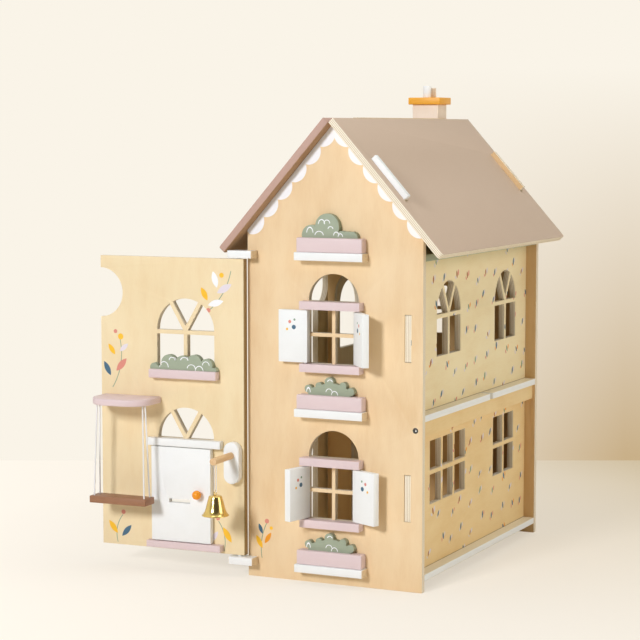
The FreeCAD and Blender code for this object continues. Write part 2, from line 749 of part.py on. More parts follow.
def hanging_bell():
    """The string loop, the bell with its eye, and the clapper. They hang below the peg."""
    u = bell_plate_at[0]
    y = wing_face - bell_plate_size[2] - bell_out
    eye_z = bell_top_z + bell_eye_radius
    turn_z = eye_z + bell_eye_radius
    top = peg_z - math.sqrt(peg_radius ** 2 - string_spread ** 2) - string_radius
    turns = [math.pi * (1 + i / string_flats) for i in range(string_flats + 1)]
    sections = [string_section(turn) for turn in turns]
    ends = [string_section(turn) for turn in (turns[0], turns[-1])]
    for section in ends:
        for corner in section:
            corner.z += top - turn_z
    string = skinned([ends[0]] + sections + [ends[1]])
    string.translate(V(-u, y, turn_z))
    save("bell_string", on_front_wing(string))
    print("bell_string arc radius", string_spread)

    outer, inner = bell_eye_radius + bell_eye_wire / 2, bell_eye_radius - bell_eye_wire / 2
    discs = [
        board(polygon(circle(0, eye_z, r, turned_flats)), -bell_eye_wire / 2, bell_eye_wire)
        for r in (outer, inner)
    ]
    eye = turned(discs[0].cut(discs[1]), 0, 0, 90)
    eye.translate(V(-u, y, 0))
    cup = bell_cup()
    cup.translate(V(-u, y, bell_top_z))
    save("bell", on_front_wing(cup.fuse(eye).removeSplitter()))

    rod_top = bell_top_z - bell_wall - clapper_gap
    drop_z = bell_top_z - bell_wall - clapper_drop
    rod = turned_solid([(clapper_wire_radius, rod_top), (clapper_wire_radius, drop_z)], turned_flats // 2)
    drop = ball(clapper_radius, turned_flats // 2)
    drop.translate(V(0, 0, drop_z))
    clapper = rod.fuse(drop).removeSplitter()
    clapper.translate(V(-u, y, 0))
    save("bell_clapper", on_front_wing(clapper))


def string_section(turn):
    """The string's section at a turn about the bottom of its loop, which is drawn round the origin."""
    across = circle(string_spread, 0, string_radius, string_flats)
    return [V(r * math.cos(turn), y, r * math.sin(turn)) for r, y in across]


def bell_cup():
    """The bell from its crown, whose top is at z = 0, to its rim, and its inside an even wall away."""
    outside = [
        (bell_crown_radius - bell_shoulder, 0),
        (bell_crown_radius, -bell_shoulder),
        (bell_waist_radius, -bell_waist_drop),
        (bell_flare_radius, -bell_flare_drop),
        (bell_rim_radius, -bell_height),
    ]
    crown = [(bell_crown_radius - bell_wall, -bell_wall)]
    inside = crown + [(r - bell_wall, z) for r, z in outside[2:]]
    return turned_solid(outside).cut(turned_solid(inside))


def ball(radius, count=turned_flats):
    """A ball about the origin, turned as a few conical bands between two small flat poles."""
    angles = [math.pi * (i + 0.5) / ball_rings for i in range(ball_rings)]
    return turned_solid([(radius * math.sin(a), radius * math.cos(a)) for a in angles], count)


def turned_solid(rings, count=turned_flats):
    """A piece turned about the Z axis, from the radius and height of its rings."""
    return skinned([[V(x, y, z) for x, y in circle(0, 0, r, count)] for r, z in rings])


def skinned(sections):
    """A solid through sections with as many corners each: narrow flats between them, a face at each end."""
    flats = [flat(section) for section in (sections[0], sections[-1])]
    for first, second in zip(sections, sections[1:]):
        for i in range(len(first)):
            flats.append(flat([first[i - 1], first[i], second[i], second[i - 1]]))
    skin = Part.makeShell(flats)
    skin.sewShape()
    solid = Part.makeSolid(skin)
    return solid if solid.Volume > 0 else solid.reversed()


def swing():
    """The canopy on the wing's face, four ropes from its underside, and the seat plank."""
    half = canopy_width / 2
    canopy = block(
        -canopy_u - half, -canopy_u + half, wing_face - canopy_depth, wing_face, canopy_z,
        canopy_z + canopy_thickness,
    )
    front = wing_face - canopy_depth
    corners = [e for e in canopy.Edges if along_z(e) and abs(e.Vertexes[0].Y - front) < 1e-6]
    save("swing_canopy", on_front_wing(canopy.makeFillet(canopy_corner, corners)))

    axis_y = wing_face - swing_out
    half = seat_width / 2
    seat_top = seat_z + seat_thickness
    seat = block(
        -swing_u - half, -swing_u + half, axis_y - seat_depth / 2, axis_y + seat_depth / 2, seat_z, seat_top
    )
    save("swing_seat", on_front_wing(seat))
    for depth, toward in (("front", -1), ("rear", 1)):
        for name, side in (("left", -1), ("right", 1)):
            top_x = -swing_u + side * rope_top_u + toward * rope_top_shift
            top = V(top_x, axis_y, canopy_z - rope_gap)
            foot = V(-swing_u + side * rope_foot_u, axis_y + toward * rope_foot_out, seat_top)
            save(f"rope_{depth}_{name}", on_front_wing(rope(top, foot)))


def rope(top, foot):
    """A taut rope between two level faces, trimmed flat at both ends."""
    along = (foot - top).normalize()
    reach = 4 * rope_radius
    body = Part.makeCylinder(
        rope_radius, (foot - top).Length + 2 * reach, top - along * reach, along
    )
    span = 50.0
    return body.common(block(top.x - span, top.x + span, top.y - span, top.y + span, foot.z, top.z))


def rear_wing():
    """The back wing, shut: drawn like the front one, then turned to close the left side."""
    spring = rear_window_z[1] - rear_window_width / 2
    window = cutter(arch_face(-rear_window_u, rear_window_width, rear_window_z[0], spring))
    panel = wing_panel(rear_wing_length, [window])
    panel.rotate(V(0, 0, 0), V(0, 0, 1), 90)
    panel.translate(V(hinge_x, rear_hinge_y, 0))
    save("rear_wing", panel)


house_shell()
partition()
side_walls()
rail_and_bolts()
roof_panel()
roof_flap()
chimney()
ridge_hinge()
window_fittings()
flower_boxes()
hinge_blocks()
front_wing()
front_door()
bell_bracket()
hanging_bell()
swing()
rear_wing()
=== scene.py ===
# %% [markdown]
# A wooden dollhouse, dressed for its picture. The boards, pins and hinges come from the CAD model as a
# fixed frame. This lesson hangs the cords, gives each board its wood and paint, rounds its edges, and turns
# the knob, the bell and its clapper. Lengths are millimetres unless a comment says otherwise, and MM makes
# them metres.

import json
import math

import bmesh
import bpy
from mathutils import Matrix, Vector


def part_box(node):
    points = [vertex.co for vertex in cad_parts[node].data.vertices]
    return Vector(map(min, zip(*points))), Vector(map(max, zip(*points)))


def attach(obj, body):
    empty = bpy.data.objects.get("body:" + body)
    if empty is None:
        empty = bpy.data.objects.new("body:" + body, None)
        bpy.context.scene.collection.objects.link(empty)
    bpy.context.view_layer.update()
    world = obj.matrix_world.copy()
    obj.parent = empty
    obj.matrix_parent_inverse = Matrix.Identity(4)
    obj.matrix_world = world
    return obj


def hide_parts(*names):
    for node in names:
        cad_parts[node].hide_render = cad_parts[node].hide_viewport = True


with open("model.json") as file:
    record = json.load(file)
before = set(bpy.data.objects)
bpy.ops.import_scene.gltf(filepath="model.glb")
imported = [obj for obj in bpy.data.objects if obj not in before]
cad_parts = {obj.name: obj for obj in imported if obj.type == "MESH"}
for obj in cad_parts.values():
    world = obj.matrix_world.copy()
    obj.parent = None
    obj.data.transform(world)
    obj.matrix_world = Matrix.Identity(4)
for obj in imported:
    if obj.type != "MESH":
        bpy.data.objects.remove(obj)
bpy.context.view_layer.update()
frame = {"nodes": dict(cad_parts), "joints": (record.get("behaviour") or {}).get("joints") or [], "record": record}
MM = 0.001
BODY_OF = {node: body for body, nodes in frame["record"]["behaviour"]["bodies"].items() for node in nodes}
scene = bpy.context.scene

# %% [markdown]
# ## Measures
# Every place is read from the frame. A board's box gives its faces. The front wing stands open at a small
# angle past square, so its own axes run from its hinge, and a point on it is given by its distance from the
# hinge, how far it stands out from the wing's face, and its height.

# %% Boxes and the front wing's own axes
def box(node):
    low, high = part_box(node)
    return Vector(low) / MM, Vector(high) / MM


def middle_of(node):
    low, high = box(node)
    return (low + high) / 2


gable_low, gable_high = box("front_gable")
BOARD = gable_high.y - gable_low.y
RIDGE_Z = 614.6
ROOF_SLOPE = math.radians(48.3)
WING_TURN = math.radians(2.2)
AXIS_OF = {joint["name"]: Vector(joint["pos_m"]) / MM for joint in frame["joints"]}
WING_AXIS = AXIS_OF["front wing swings"]
REAR_AXIS = AXIS_OF["rear wing swings"]


def on_wing(u, out, z):
    x, y = -u, -(BOARD / 2 + out)
    c, s = math.cos(WING_TURN), math.sin(WING_TURN)
    return Vector((WING_AXIS.x + x * c - y * s, WING_AXIS.y + x * s + y * c, z))


print("board", round(BOARD, 2), "mm, wing axis", [round(v, 1) for v in WING_AXIS])

# %% [markdown]
# ## The camera
# The house is seen from the right of its front, from just below the height of its ridge. A long lens far
# away keeps the uprights upright, where a short one close by would make them lean. The camera and the cords
# come first.

# %% Camera
CAMERA_SPOT = (1.1122, -2.3955, 0.6067)  # metres
CAMERA_DOWN, CAMERA_TURN = 5.457, 25.338  # degrees
camera = bpy.data.objects.new("camera", bpy.data.cameras.new("camera"))
camera.data.lens = 112.84
camera.data.sensor_width = 36.0
camera.data.clip_end = 50.0
camera.location = CAMERA_SPOT
camera.rotation_euler = (math.radians(90 - CAMERA_DOWN), 0.0, math.radians(CAMERA_TURN))
scene.collection.objects.link(camera)
scene.camera = camera
print("camera at", tuple(round(v, 2) for v in camera.location), "m")

# %% [markdown]
# ## Cords
# Four cotton ropes carry the swing and a loop of string carries the bell. All are short and taut. A cord
# could be a swept tube of faces, but a curve keeps its route editable: it is a NURBS curve with a round
# section, so it bends in one smooth line where the string goes through the bell's ring. The curve's depth
# is one metre and each point's radius makes it the real thickness, because Blender works out a curve's box
# from the radius of its points.

# %% A cord
cord_curves = []


def cord(name, points, thickness, length, node):
    curve = bpy.data.curves.new(name, "CURVE")
    curve.dimensions = "3D"
    curve.bevel_depth = 1.0
    curve.bevel_resolution = 4
    curve.resolution_u = 8
    curve.use_fill_caps = True
    line = curve.splines.new("NURBS")
    line.points.add(len(points) - 1)
    for point, spot in zip(line.points, points):
        point.co = (*(spot * MM), 1.0)
        point.radius = thickness / 2 * MM
    line.order_u = 3
    line.use_endpoint_u = True
    piece = bpy.data.objects.new(name, curve)
    scene.collection.objects.link(piece)
    cord_curves.append(curve)
    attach(piece, BODY_OF[node])
    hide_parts(node)
    print(name, round(length, 1), "mm")


# %% [markdown]
# The two ropes on one side of the swing meet the canopy side by side and spread towards the seat, one to
# its front and one to its back. The string goes down from the peg, turns inside the bell's ring and comes
# up again.

# %% Ropes and string
ROPE_THICKNESS, STRING_THICKNESS = 2.2, 1.2
ROPE_TOP, ROPE_FOOT = 231.6, 105.5
SWING_U, SWING_OUT = 159.0, 37.0
CANOPY_HALF, CANOPY_STEP = 35.2, 2.0
SEAT_HALF, SEAT_STEP = 38.5, 8.0
for depth, toward in (("front", -1), ("rear", 1)):
    for side, way in (("left", -1), ("right", 1)):
        top = on_wing(SWING_U - way * CANOPY_HALF - toward * CANOPY_STEP, SWING_OUT, ROPE_TOP)
        foot = on_wing(SWING_U - way * SEAT_HALF, SWING_OUT - toward * SEAT_STEP, ROPE_FOOT)
        route = [top, (top + foot) / 2, foot]
        length = (foot - top).length
        cord(f"swing_rope_{depth}_{side}", route, ROPE_THICKNESS, length, f"rope_{depth}_{side}")

BELL_U, BELL_OUT = 5.4, 60.0
STRING_TOP, STRING_TURN, STRING_SPREAD = 162.5, 127.7, 1.5
string_middle = (STRING_TOP + STRING_TURN) / 2
strand = [STRING_TOP, string_middle, STRING_TURN, STRING_TURN - STRING_SPREAD]
route = [on_wing(BELL_U + STRING_SPREAD, BELL_OUT, z) for z in strand]
route += [on_wing(BELL_U - STRING_SPREAD, BELL_OUT, z) for z in reversed(strand)]
loop_length = 2 * (STRING_TOP - STRING_TURN) + math.pi * STRING_SPREAD
cord("bell_string_loop", route, STRING_THICKNESS, loop_length, "bell_string")

# %% [markdown]
# ## Light
# A soft key lamp stands in front and a little to the left, low enough that the shutters throw their shadow
# to the right. A weaker lamp fills the wall on the right, and two hang above, for the roof and for the
# swing's side. Square lamps are used and no sun, since the size of a lamp sets how soft its shadow is.

# %% Lamps
AIM = Vector((0.0, 0.1, 0.3))  # metres, near the middle of the house
COOL, EVEN, WARM = (0.97, 1.0, 1.08), (0.99, 1.0, 1.02), (1.0, 0.99, 0.96)


def lamp(name, azimuth, elevation, distance, size, watts, tint):
    """Distance and size are metres. Azimuth is measured from the front, to the right of the house."""
    a, e = math.radians(azimuth), math.radians(elevation)
    way = Vector((math.sin(a) * math.cos(e), -math.cos(a) * math.cos(e), math.sin(e)))
    light = bpy.data.lights.new(name, "AREA")
    light.size = size
    light.energy = watts
    light.color = tint
    holder = bpy.data.objects.new(name, light)
    holder.location = AIM + way * distance
    holder.rotation_euler = way.to_track_quat("Z", "Y").to_euler()
    scene.collection.objects.link(holder)
    print(name, watts, "W from", azimuth, elevation)


for row in (
    ("key", -9.0, 22.0, 4.4, 0.8, 117.0, COOL),
    ("side_fill", 95.0, 15.0, 3.0, 2.0, 29.0, WARM),
    ("top", 110.0, 70.0, 2.6, 1.6, 18.5, EVEN),
    ("top_left", -35.0, 76.0, 2.6, 1.6, 13.0, EVEN),
):
    lamp(*row)
scene.view_settings.view_transform = "Standard"


# %% [markdown]
# ## Sums between sockets
# A pattern is a formula. It could be wired up node by node, but then a sum of five terms takes twenty
# lines. This small class wraps a socket, so that a formula is written as in Python and each operator adds
# its Math node. Every other node comes from one function, which takes the node's type, its settings and the
# values or links of its sockets.

# %% Socket arithmetic
class Wire:
    """An output of a node in one material's tree."""

    def __init__(self, tree, socket):
        self.tree = tree
        self.socket = socket

    def math(self, operation, *others):
        settings = {"operation": operation}
        return add_node(self.tree, "ShaderNodeMath", settings, dict(enumerate((self, *others))))

    def __add__(self, other):
        return self.math("ADD", other)

    def __radd__(self, other):
        return self.math("ADD", other)

    def __sub__(self, other):
        return self.math("SUBTRACT", other)

    def __rsub__(self, other):
        return (self * -1.0) + other

    def __mul__(self, other):
        return self.math("MULTIPLY", other)

    def __rmul__(self, other):
        return self.math("MULTIPLY", other)

    def __truediv__(self, other):
        return self.math("DIVIDE", other)

    def __rtruediv__(self, other):
        return self.math("POWER", -1.0) * other

    def __neg__(self):
        return self * -1.0

    def __abs__(self):
        return self.math("ABSOLUTE")

    def __pow__(self, power):
        return self.math("POWER", power)

    def out(self, name):
        """Another output of the same node."""
        return Wire(self.tree, self.socket.node.outputs[name])

    def edge(self, softness):
        """0 below zero and 1 above it, with a soft step of that width."""
        settings = {"interpolation_type": "SMOOTHSTEP"}
        values = {"Value": self, "From Min": -softness / 2, "From Max": softness / 2}
        return add_node(self.tree, "ShaderNodeMapRange", settings, values)

    def ramp(self, low, high):
        """0 at low and 1 at high, straight in between."""
        values = {"Value": self, "From Min": low, "From Max": high}
        return add_node(self.tree, "ShaderNodeMapRange", {"clamp": True}, values)


def add_node(tree, kind, settings, values):
    """One node: its settings first, then its sockets, each a number, a tuple or a Wire."""
    node = tree.nodes.new(kind)
    stops = settings.pop("stops", None)
    for name, value in settings.items():
        setattr(node, name, value)
    if stops:
        ramp = node.color_ramp.elements
        while len(ramp) < len(stops):
            ramp.new(0.5)
        for element, (position, colour) in zip(ramp, stops):
            element.position = position
            element.color = (*colour, 1.0)
    for name, value in values.items():
        socket = node.inputs[name]
        if isinstance(value, Wire):
            tree.links.new(value.socket, socket)
        elif isinstance(value, (tuple, Vector)) and socket.type == "RGBA":
            socket.default_value = (*value, 1.0)
        else:
            socket.default_value = value
    shown = [s for s in node.outputs if s.enabled]
    return Wire(tree, shown[0] if shown else None)


def mix_colours(tree, mask, under, over, blend="MIX"):
    """Under where the mask is 0, over where it is 1; both are colours."""
    settings = {"data_type": "RGBA", "blend_type": blend}
    mixer = add_node(tree, "ShaderNodeMix", settings, {0: mask, 6: under, 7: over})
    return Wire(tree, mixer.socket.node.outputs[2])


def paint_chart(red, green, blue):
    """A colour written as on a paint chart, 0 to 255, in the linear values that shaders take."""
    values = [v / 255 for v in (red, green, blue)]
    return tuple(v / 12.92 if v <= 0.04045 else ((v + 0.055) / 1.055) ** 2.4 for v in values)


# %% [markdown]
# ## A finish
# Each finish is a material with one Principled shader. It reads Object coordinates in millimetres, so that
# a pattern has its real size and stays on the piece when the piece moves. A UV map would do that too, but
# would have to be drawn anew for every board.

# %% Finish
class Finish:
    """A material with one Principled shader, and the tree to write its patterns in."""

    def __init__(self, name):
        self.material = bpy.data.materials.new(name)
        self.material.use_nodes = True
        self.tree = self.material.node_tree
        self.tree.nodes.clear()
        shader = self.tree.nodes.new("ShaderNodeBsdfPrincipled")
        self.shader = Wire(self.tree, shader.outputs[0])
        self.node("ShaderNodeOutputMaterial", {}, {"Surface": self.shader})

    def node(self, kind, settings, values):
        return add_node(self.tree, kind, dict(settings), values)

    def place(self, origin=(0.0, 0.0, 0.0), turn=(0.0, 0.0, 0.0)):
        """Object coordinates in millimetres, measured from an origin along turned axes."""
        spot = self.node("ShaderNodeTexCoord", {}, {}).out("Object")
        start = tuple(v * MM for v in origin)
        moves = {"Vector": spot, "Location": start, "Rotation": turn, "Scale": (MM, MM, MM)}
        return self.node("ShaderNodeMapping", {"vector_type": "TEXTURE"}, moves)

    def split(self, vector):
        x = self.node("ShaderNodeSeparateXYZ", {}, {"Vector": vector})
        return x, x.out("Y"), x.out("Z")

    def stretch(self, vector, scale):
        return self.node("ShaderNodeVectorMath", {"operation": "MULTIPLY"}, {0: vector, 1: scale})

    def shift(self, vector, by):
        return self.node("ShaderNodeVectorMath", {"operation": "ADD"}, {0: vector, 1: by})

    def noise(self, vector, scale, detail=3.0, roughness=0.5):
        values = {"Vector": vector, "Scale": scale, "Detail": detail, "Roughness": roughness}
        return self.node("ShaderNodeTexNoise", {}, values)

    def mix(self, mask, under, over):
        return mix_colours(self.tree, mask, under, over)

    def set(self, **values):
        for name, value in values.items():
            socket = self.shader.socket.node.inputs[name.replace("_", " ")]
            if isinstance(value, Wire):
                self.tree.links.new(value.socket, socket)
            elif isinstance(value, tuple):
                socket.default_value = (*value, 1.0)
            else:
                socket.default_value = value
        return self.material

    def bump(self, height, distance, strength=1.0):
        """A relief whose height runs from 0 to 1 over that distance in millimetres."""
        values = {"Height": height, "Distance": distance * MM, "Strength": strength}
        self.set(Normal=self.node("ShaderNodeBump", {}, values))


# %% [markdown]
# ## The stage
# A pale floor keeps the toy's shadow, and past its far edge the camera sees a pale wall. Both turn a little
# darker to the right, as in a studio with its window on the left. What lights the toy from all round is a
# plain soft white, dim in front and brighter from behind on the left, where the lamps don't reach. So the
# wall's colour belongs only to rays from the camera and to what metal mirrors. Metal also mirrors the dark
# side of the studio, behind the camera, which gives a bell its contrast.

# %% World
CREAM = paint_chart(250, 244, 232)
TAN = paint_chart(201, 176, 137)
STUDIO_DARK = (0.10, 0.09, 0.08)
FILL_TINT = (1.0, 0.96, 0.88)
AMBIENT, REAR_LIGHT = 0.07, 0.42
UP, REAR_LEFT = (0.0, 0.0, 1.0), (-0.55, 0.83, 0.0)
view_turn = camera.rotation_euler.z
VIEW_RIGHT = (math.cos(view_turn), math.sin(view_turn), 0.0)
VIEW_BACK = (math.sin(view_turn), -math.cos(view_turn), 0.0)


def along(tree, vector, axis):
    """How far a vector reaches along an axis."""
    dot = add_node(tree, "ShaderNodeVectorMath", {"operation": "DOT_PRODUCT"}, {0: vector, 1: axis})
    return dot.out("Value")


def looked_at(ray):
    """1 for a ray from the camera, and for one that a mirror or a pane passes on."""
    return ray.math("MAXIMUM", ray.out("Is Glossy Ray")).math("MAXIMUM", ray.out("Is Transmission Ray"))


world = bpy.data.worlds.new("studio")
scene.world = world
world.use_nodes = True
sky = world.node_tree
sky.nodes.clear()
sight = add_node(sky, "ShaderNodeTexCoord", {}, {})
ray = add_node(sky, "ShaderNodeLightPath", {}, {})
height, right = along(sky, sight, UP), along(sky, sight, VIEW_RIGHT)
shade = right.ramp(0.0, 0.15) * right.ramp(0.5, 0.25) * height.ramp(0.03, -0.16)
wall = mix_colours(sky, shade, CREAM, TAN)
behind = along(sky, sight, VIEW_BACK).ramp(0.15, 0.75) * ray.out("Is Glossy Ray")
studio = mix_colours(sky, behind, wall, STUDIO_DARK)
fill = along(sky, sight, REAR_LEFT).ramp(0.0, 0.8) * REAR_LIGHT + AMBIENT
ambient = add_node(sky, "ShaderNodeBackground", {}, {"Color": FILL_TINT, "Strength": fill})
backdrop = add_node(sky, "ShaderNodeBackground", {}, {"Color": studio, "Strength": 1.0})
lit = add_node(sky, "ShaderNodeMixShader", {}, {0: looked_at(ray), 1: ambient, 2: backdrop})
add_node(sky, "ShaderNodeOutputWorld", {}, {"Surface": lit})
print("fill from", AMBIENT, "in front to", round(AMBIENT + REAR_LIGHT, 2), "behind")

# %% [markdown]
# The floor is one plain sheet, turned with the camera so that its far edge looks level. More light on it
# would also fall on the toy. So to the camera the floor is partly a glow of its own colour, which stays
# pale, and partly lit, which keeps the shadow. The lit share is larger near the house, where the shadow
# falls.

# %% Floor
FLOOR_REACH, FLOOR_BACK = 3.2, 1.0  # metres
FLOOR_PALE, FLOOR_SHADED = paint_chart(248, 241, 229), paint_chart(214, 197, 166)
GLOW_SHARE, NEAR_SHARE = 0.78, 0.58
NEAR, FAR = 230.0, 700.0
HOUSE_MIDDLE_Y = 200.0
floor_mesh = bmesh.new()
bmesh.ops.create_grid(floor_mesh, x_segments=1, y_segments=1, size=FLOOR_REACH)
bmesh.ops.translate(floor_mesh, verts=floor_mesh.verts, vec=(0.0, FLOOR_BACK - FLOOR_REACH, 0.0))
bmesh.ops.rotate(floor_mesh, verts=floor_mesh.verts, matrix=Matrix.Rotation(view_turn, 3, "Z"))
floor_data = bpy.data.meshes.new("floor")
floor_mesh.to_mesh(floor_data)
floor = bpy.data.objects.new("floor", floor_data)
scene.collection.objects.link(floor)

cloth = Finish("floor_cream")
spot = cloth.place()
to_right, to_camera = along(cloth.tree, spot, VIEW_RIGHT), along(cloth.tree, spot, VIEW_BACK)
far_right = to_right.ramp(0.0, 560.0) * to_camera.ramp(450.0, -1000.0)
tone = cloth.mix(far_right, FLOOR_PALE, FLOOR_SHADED)
cloth.set(Base_Color=tone, Roughness=0.9, Specular_IOR_Level=0.1)
strength = to_right.ramp(0.0, -700.0) * 0.16 + 1.06
glow = cloth.node("ShaderNodeEmission", {}, {"Color": tone, "Strength": strength})
floor_x, floor_y, _ = cloth.split(spot)
away = (floor_x * floor_x + (floor_y - HOUSE_MIDDLE_Y) ** 2.0) ** 0.5
share = away.ramp(NEAR, FAR) * (GLOW_SHARE - NEAR_SHARE) + NEAR_SHARE
glowing = looked_at(cloth.node("ShaderNodeLightPath", {}, {})) * share
laid = cloth.node("ShaderNodeMixShader", {}, {0: glowing, 1: cloth.shader, 2: glow})
cloth.tree.links.new(laid.socket, cloth.tree.nodes["Material Output"].inputs["Surface"])
floor_data.materials.append(cloth.material)
print("floor", round(2 * FLOOR_REACH, 1), "m wide")

# %% [markdown]
# ## Wood
# The boards are pale plywood with a rotary-cut veneer: honey, with fine long streaks, slow pale clouds and
# hardly any pores. A scanned board would repeat on every panel. Here one function writes the veneer for any
# board out of noise that is drawn out along the grain, so each board has a figure of its own. Its edge
# shows the plies, pale ones with thin darker lines of glue between them.

# %% Veneer and plies
HONEY = (paint_chart(242, 216, 175), paint_chart(237, 207, 162), paint_chart(227, 191, 144))
PALE_HONEY = (paint_chart(242, 223, 182), paint_chart(239, 216, 172), paint_chart(231, 203, 155))
SIDE_HONEY = (paint_chart(250, 235, 193), paint_chart(247, 228, 182), paint_chart(236, 211, 160))
LOW_HONEY = (paint_chart(245, 217, 163), paint_chart(241, 210, 152), paint_chart(229, 192, 132))
END_GRAIN = (paint_chart(244, 228, 200), paint_chart(238, 218, 184), paint_chart(222, 198, 160))
PLY_PALE = paint_chart(250, 241, 220)
PLY_LINE = paint_chart(190, 162, 118)
PORE = paint_chart(206, 168, 118)
# A tint that darkens inner faces, as painted shade inside the house.
INNER_SHADE_TINT = (0.80, 0.72, 0.60)
PLY_COUNT = 4
AXES = {"x": 0, "y": 1, "z": 2}


def veneer(finish, spot, grain, wood, seed=0.0):
    """The colour and the fine height of a veneer whose streaks run along the axis named grain."""
    pale, middle, dark = wood
    shifted = finish.shift(spot, (seed, seed * 0.7, seed * 1.3))

    def streaks(share, scale, detail):
        """The smaller the share, the longer the streaks."""
        stretch = [1.0, 1.0, 1.0]
        stretch[AXES[grain]] = share
        return finish.noise(finish.stretch(shifted, tuple(stretch)), scale, detail, 0.6)

    fine = streaks(0.06, 1.1, 3.0)
    figure = streaks(0.25, 0.06, 3.0)
    pores = streaks(0.07, 2.6, 2.0)
    clouds = finish.noise(shifted, 0.011, 2.0, 0.5)
    tone = (fine - 0.5) * 0.4 + (figure - 0.5) * 0.75 + (clouds - 0.5) * 0.8
    colour = finish.mix((tone + 0.12).edge(0.9), pale, middle)
    colour = finish.mix((tone - 0.22).edge(0.7) * 0.7, colour, dark)
    colour = finish.mix((pores - 0.68).edge(0.06) * 0.16, colour, PORE)
    return colour, fine * 0.5 + pores * 0.5


def painted_inner_shade(finish, colour):
    """The same wood made darker, as painted shade for faces inside the house."""
    return mix_colours(finish.tree, 1.0, colour, INNER_SHADE_TINT, "MULTIPLY")


def plies(finish, depth, spot, thickness):
    """A board's edge: depth is the distance through the board from its middle."""
    wander = (finish.noise(spot, 0.07, 2.0) - 0.5) * 0.4
    layer = (depth + wander) / (thickness / PLY_COUNT)
    line = layer.math("PINGPONG", 0.5)
    fibres = finish.noise(spot, 1.3, 3.0, 0.6)
    colour = finish.mix((0.15 - line).edge(0.16) * 0.85, PLY_PALE, PLY_LINE)
    return finish.mix((fibres - 0.52).edge(0.4) * 0.22, colour, PLY_LINE)


print("a veneer of three tones on", PLY_COUNT, "plies")


# %% [markdown]
# A board is veneer on its two faces and plies on its edge. Which of them a point lies on follows from its
# distance through the board, so no face has to be picked by hand. A solid piece, such as the rail, the
# dowel or the chimney, has wood all round and rings on its ends.

# %% Boards and solid wood
SKIN = 0.45
FINE_RELIEF, COARSE_RELIEF = 0.06, 0.08


def board(name, origin, through, grain, wood, seed=0.0, turn=(0.0, 0.0, 0.0), prints=None, over=None):
    """A plywood finish. through is the axis of the thickness and origin lies in the middle of the board.
    prints paints over the faces, and over paints over faces and edges."""
    finish = Finish(name)
    spot = finish.place(origin, turn)
    x, y, z = finish.split(spot)
    depth = (x, y, z)[AXES[through]]
    face = (abs(depth) - (BOARD / 2 - SKIN)).edge(0.25)
    colour, height = veneer(finish, spot, grain, wood, seed)
    if prints:
        colour = prints(finish, x, y, z, colour)
    colour = finish.mix(face, plies(finish, depth, spot, BOARD), colour)
    if over:
        colour = over(finish, x, y, z, colour)
    finish.bump(height, FINE_RELIEF, 0.5)
    print(name, "grain along", grain)
    return finish.set(Base_Color=colour, Roughness=0.55 + height * 0.1, Specular_IOR_Level=0.35)


def end_grain(finish, spot, wood):
    rings = finish.noise(spot, 0.35, 4.0, 0.7)
    return finish.mix((rings - 0.5).edge(0.25) * 0.8, wood[1], wood[2])


def solid_wood(name, node, grain, wood, seed=0.0):
    low, high = box(node)
    finish = Finish(name)
    spot = finish.place((low + high) / 2)
    colour, height = veneer(finish, spot, grain, wood, seed)
    reach_out = (high - low)[AXES[grain]] / 2 - 0.3
    ends = (abs(finish.split(spot)[AXES[grain]]) - reach_out).edge(0.2)
    colour = finish.mix(ends, colour, end_grain(finish, spot, wood))
    finish.bump(height, COARSE_RELIEF, 0.6)
    print(name, "grain along", grain)
    return finish.set(Base_Color=colour, Roughness=0.55 + height * 0.1, Specular_IOR_Level=0.35)


# %% [markdown]
# ## Paint
# The small pieces are dipped in a thin matt paint. Faint grain still shows through it and the colour lies a
# little thinner here and there, so each paint is two near colours mixed by noise, with a low relief of
# brush marks. On some pieces the sawn ends are left bare.

# %% Paints
def painted(name, coat, roughness=0.5, bare_ends=None, strokes=None, base=()):
    """A matt paint. coat is its colour and the colour where it lies thin. bare_ends are two places along x
    past which the wood is bare, and strokes paints on top, from the origin and the turn in base."""
    finish = Finish(name)
    spot = finish.place(*base)
    brushed = finish.noise(finish.stretch(spot, (0.10, 0.9, 0.9)), 1.1, 4.0, 0.6)
    clouds = finish.noise(spot, 0.05, 3.0, 0.55)
    colour = finish.mix((clouds * 0.6 + brushed * 0.4 - 0.5).edge(0.5) * 0.4, *coat)
    if bare_ends:
        x = finish.split(spot)[0]
        bare = end_grain(finish, spot, END_GRAIN)
        ends = (bare_ends[0] - x).edge(0.2).math("MAXIMUM", (x - bare_ends[1]).edge(0.2))
        colour = finish.mix(ends, colour, bare)
    if strokes:
        colour = strokes(finish, *finish.split(spot), colour)
    finish.bump(brushed * 0.7 + clouds * 0.3, COARSE_RELIEF, 0.45)
    sheen = roughness + (brushed - 0.5) * 0.12
    print(name, "roughness", roughness)
    return finish.set(Base_Color=colour, Roughness=sheen, Specular_IOR_Level=0.35)


WHITE = (paint_chart(244, 245, 242), paint_chart(236, 236, 230))
PINK = (paint_chart(227, 206, 204), paint_chart(218, 194, 193))
SAGE = (paint_chart(163, 172, 148), paint_chart(149, 160, 133))
TAUPE = (paint_chart(203, 180, 157), paint_chart(197, 173, 151))
ROSE_TAUPE = (paint_chart(194, 160, 144), paint_chart(184, 149, 132))
AMBER = (paint_chart(247, 178, 60), paint_chart(240, 163, 42))
ORANGE = (paint_chart(246, 156, 36), paint_chart(238, 142, 26))
CHESTNUT = (paint_chart(160, 115, 84), paint_chart(136, 92, 64))

white = painted("white_paint", WHITE)
pink = painted("pink_paint", PINK)
amber = painted("amber_paint", AMBER, roughness=0.42)
orange = painted("orange_paint", ORANGE, roughness=0.24)
chestnut = painted("chestnut_stain", CHESTNUT, roughness=0.48)

# %% [markdown]
# ## Printed ornament
# The prints on the boards are flat ink. A scalloped white trim follows the gable's slopes, single seeds are
# strewn over the side walls, and plain sprigs with berries grow up the door wing and the gable. A drawing
# laid over the board would blur when seen from close by. Here each shape is a formula that is 1 inside it,
# so its edge stays sharp at any distance.

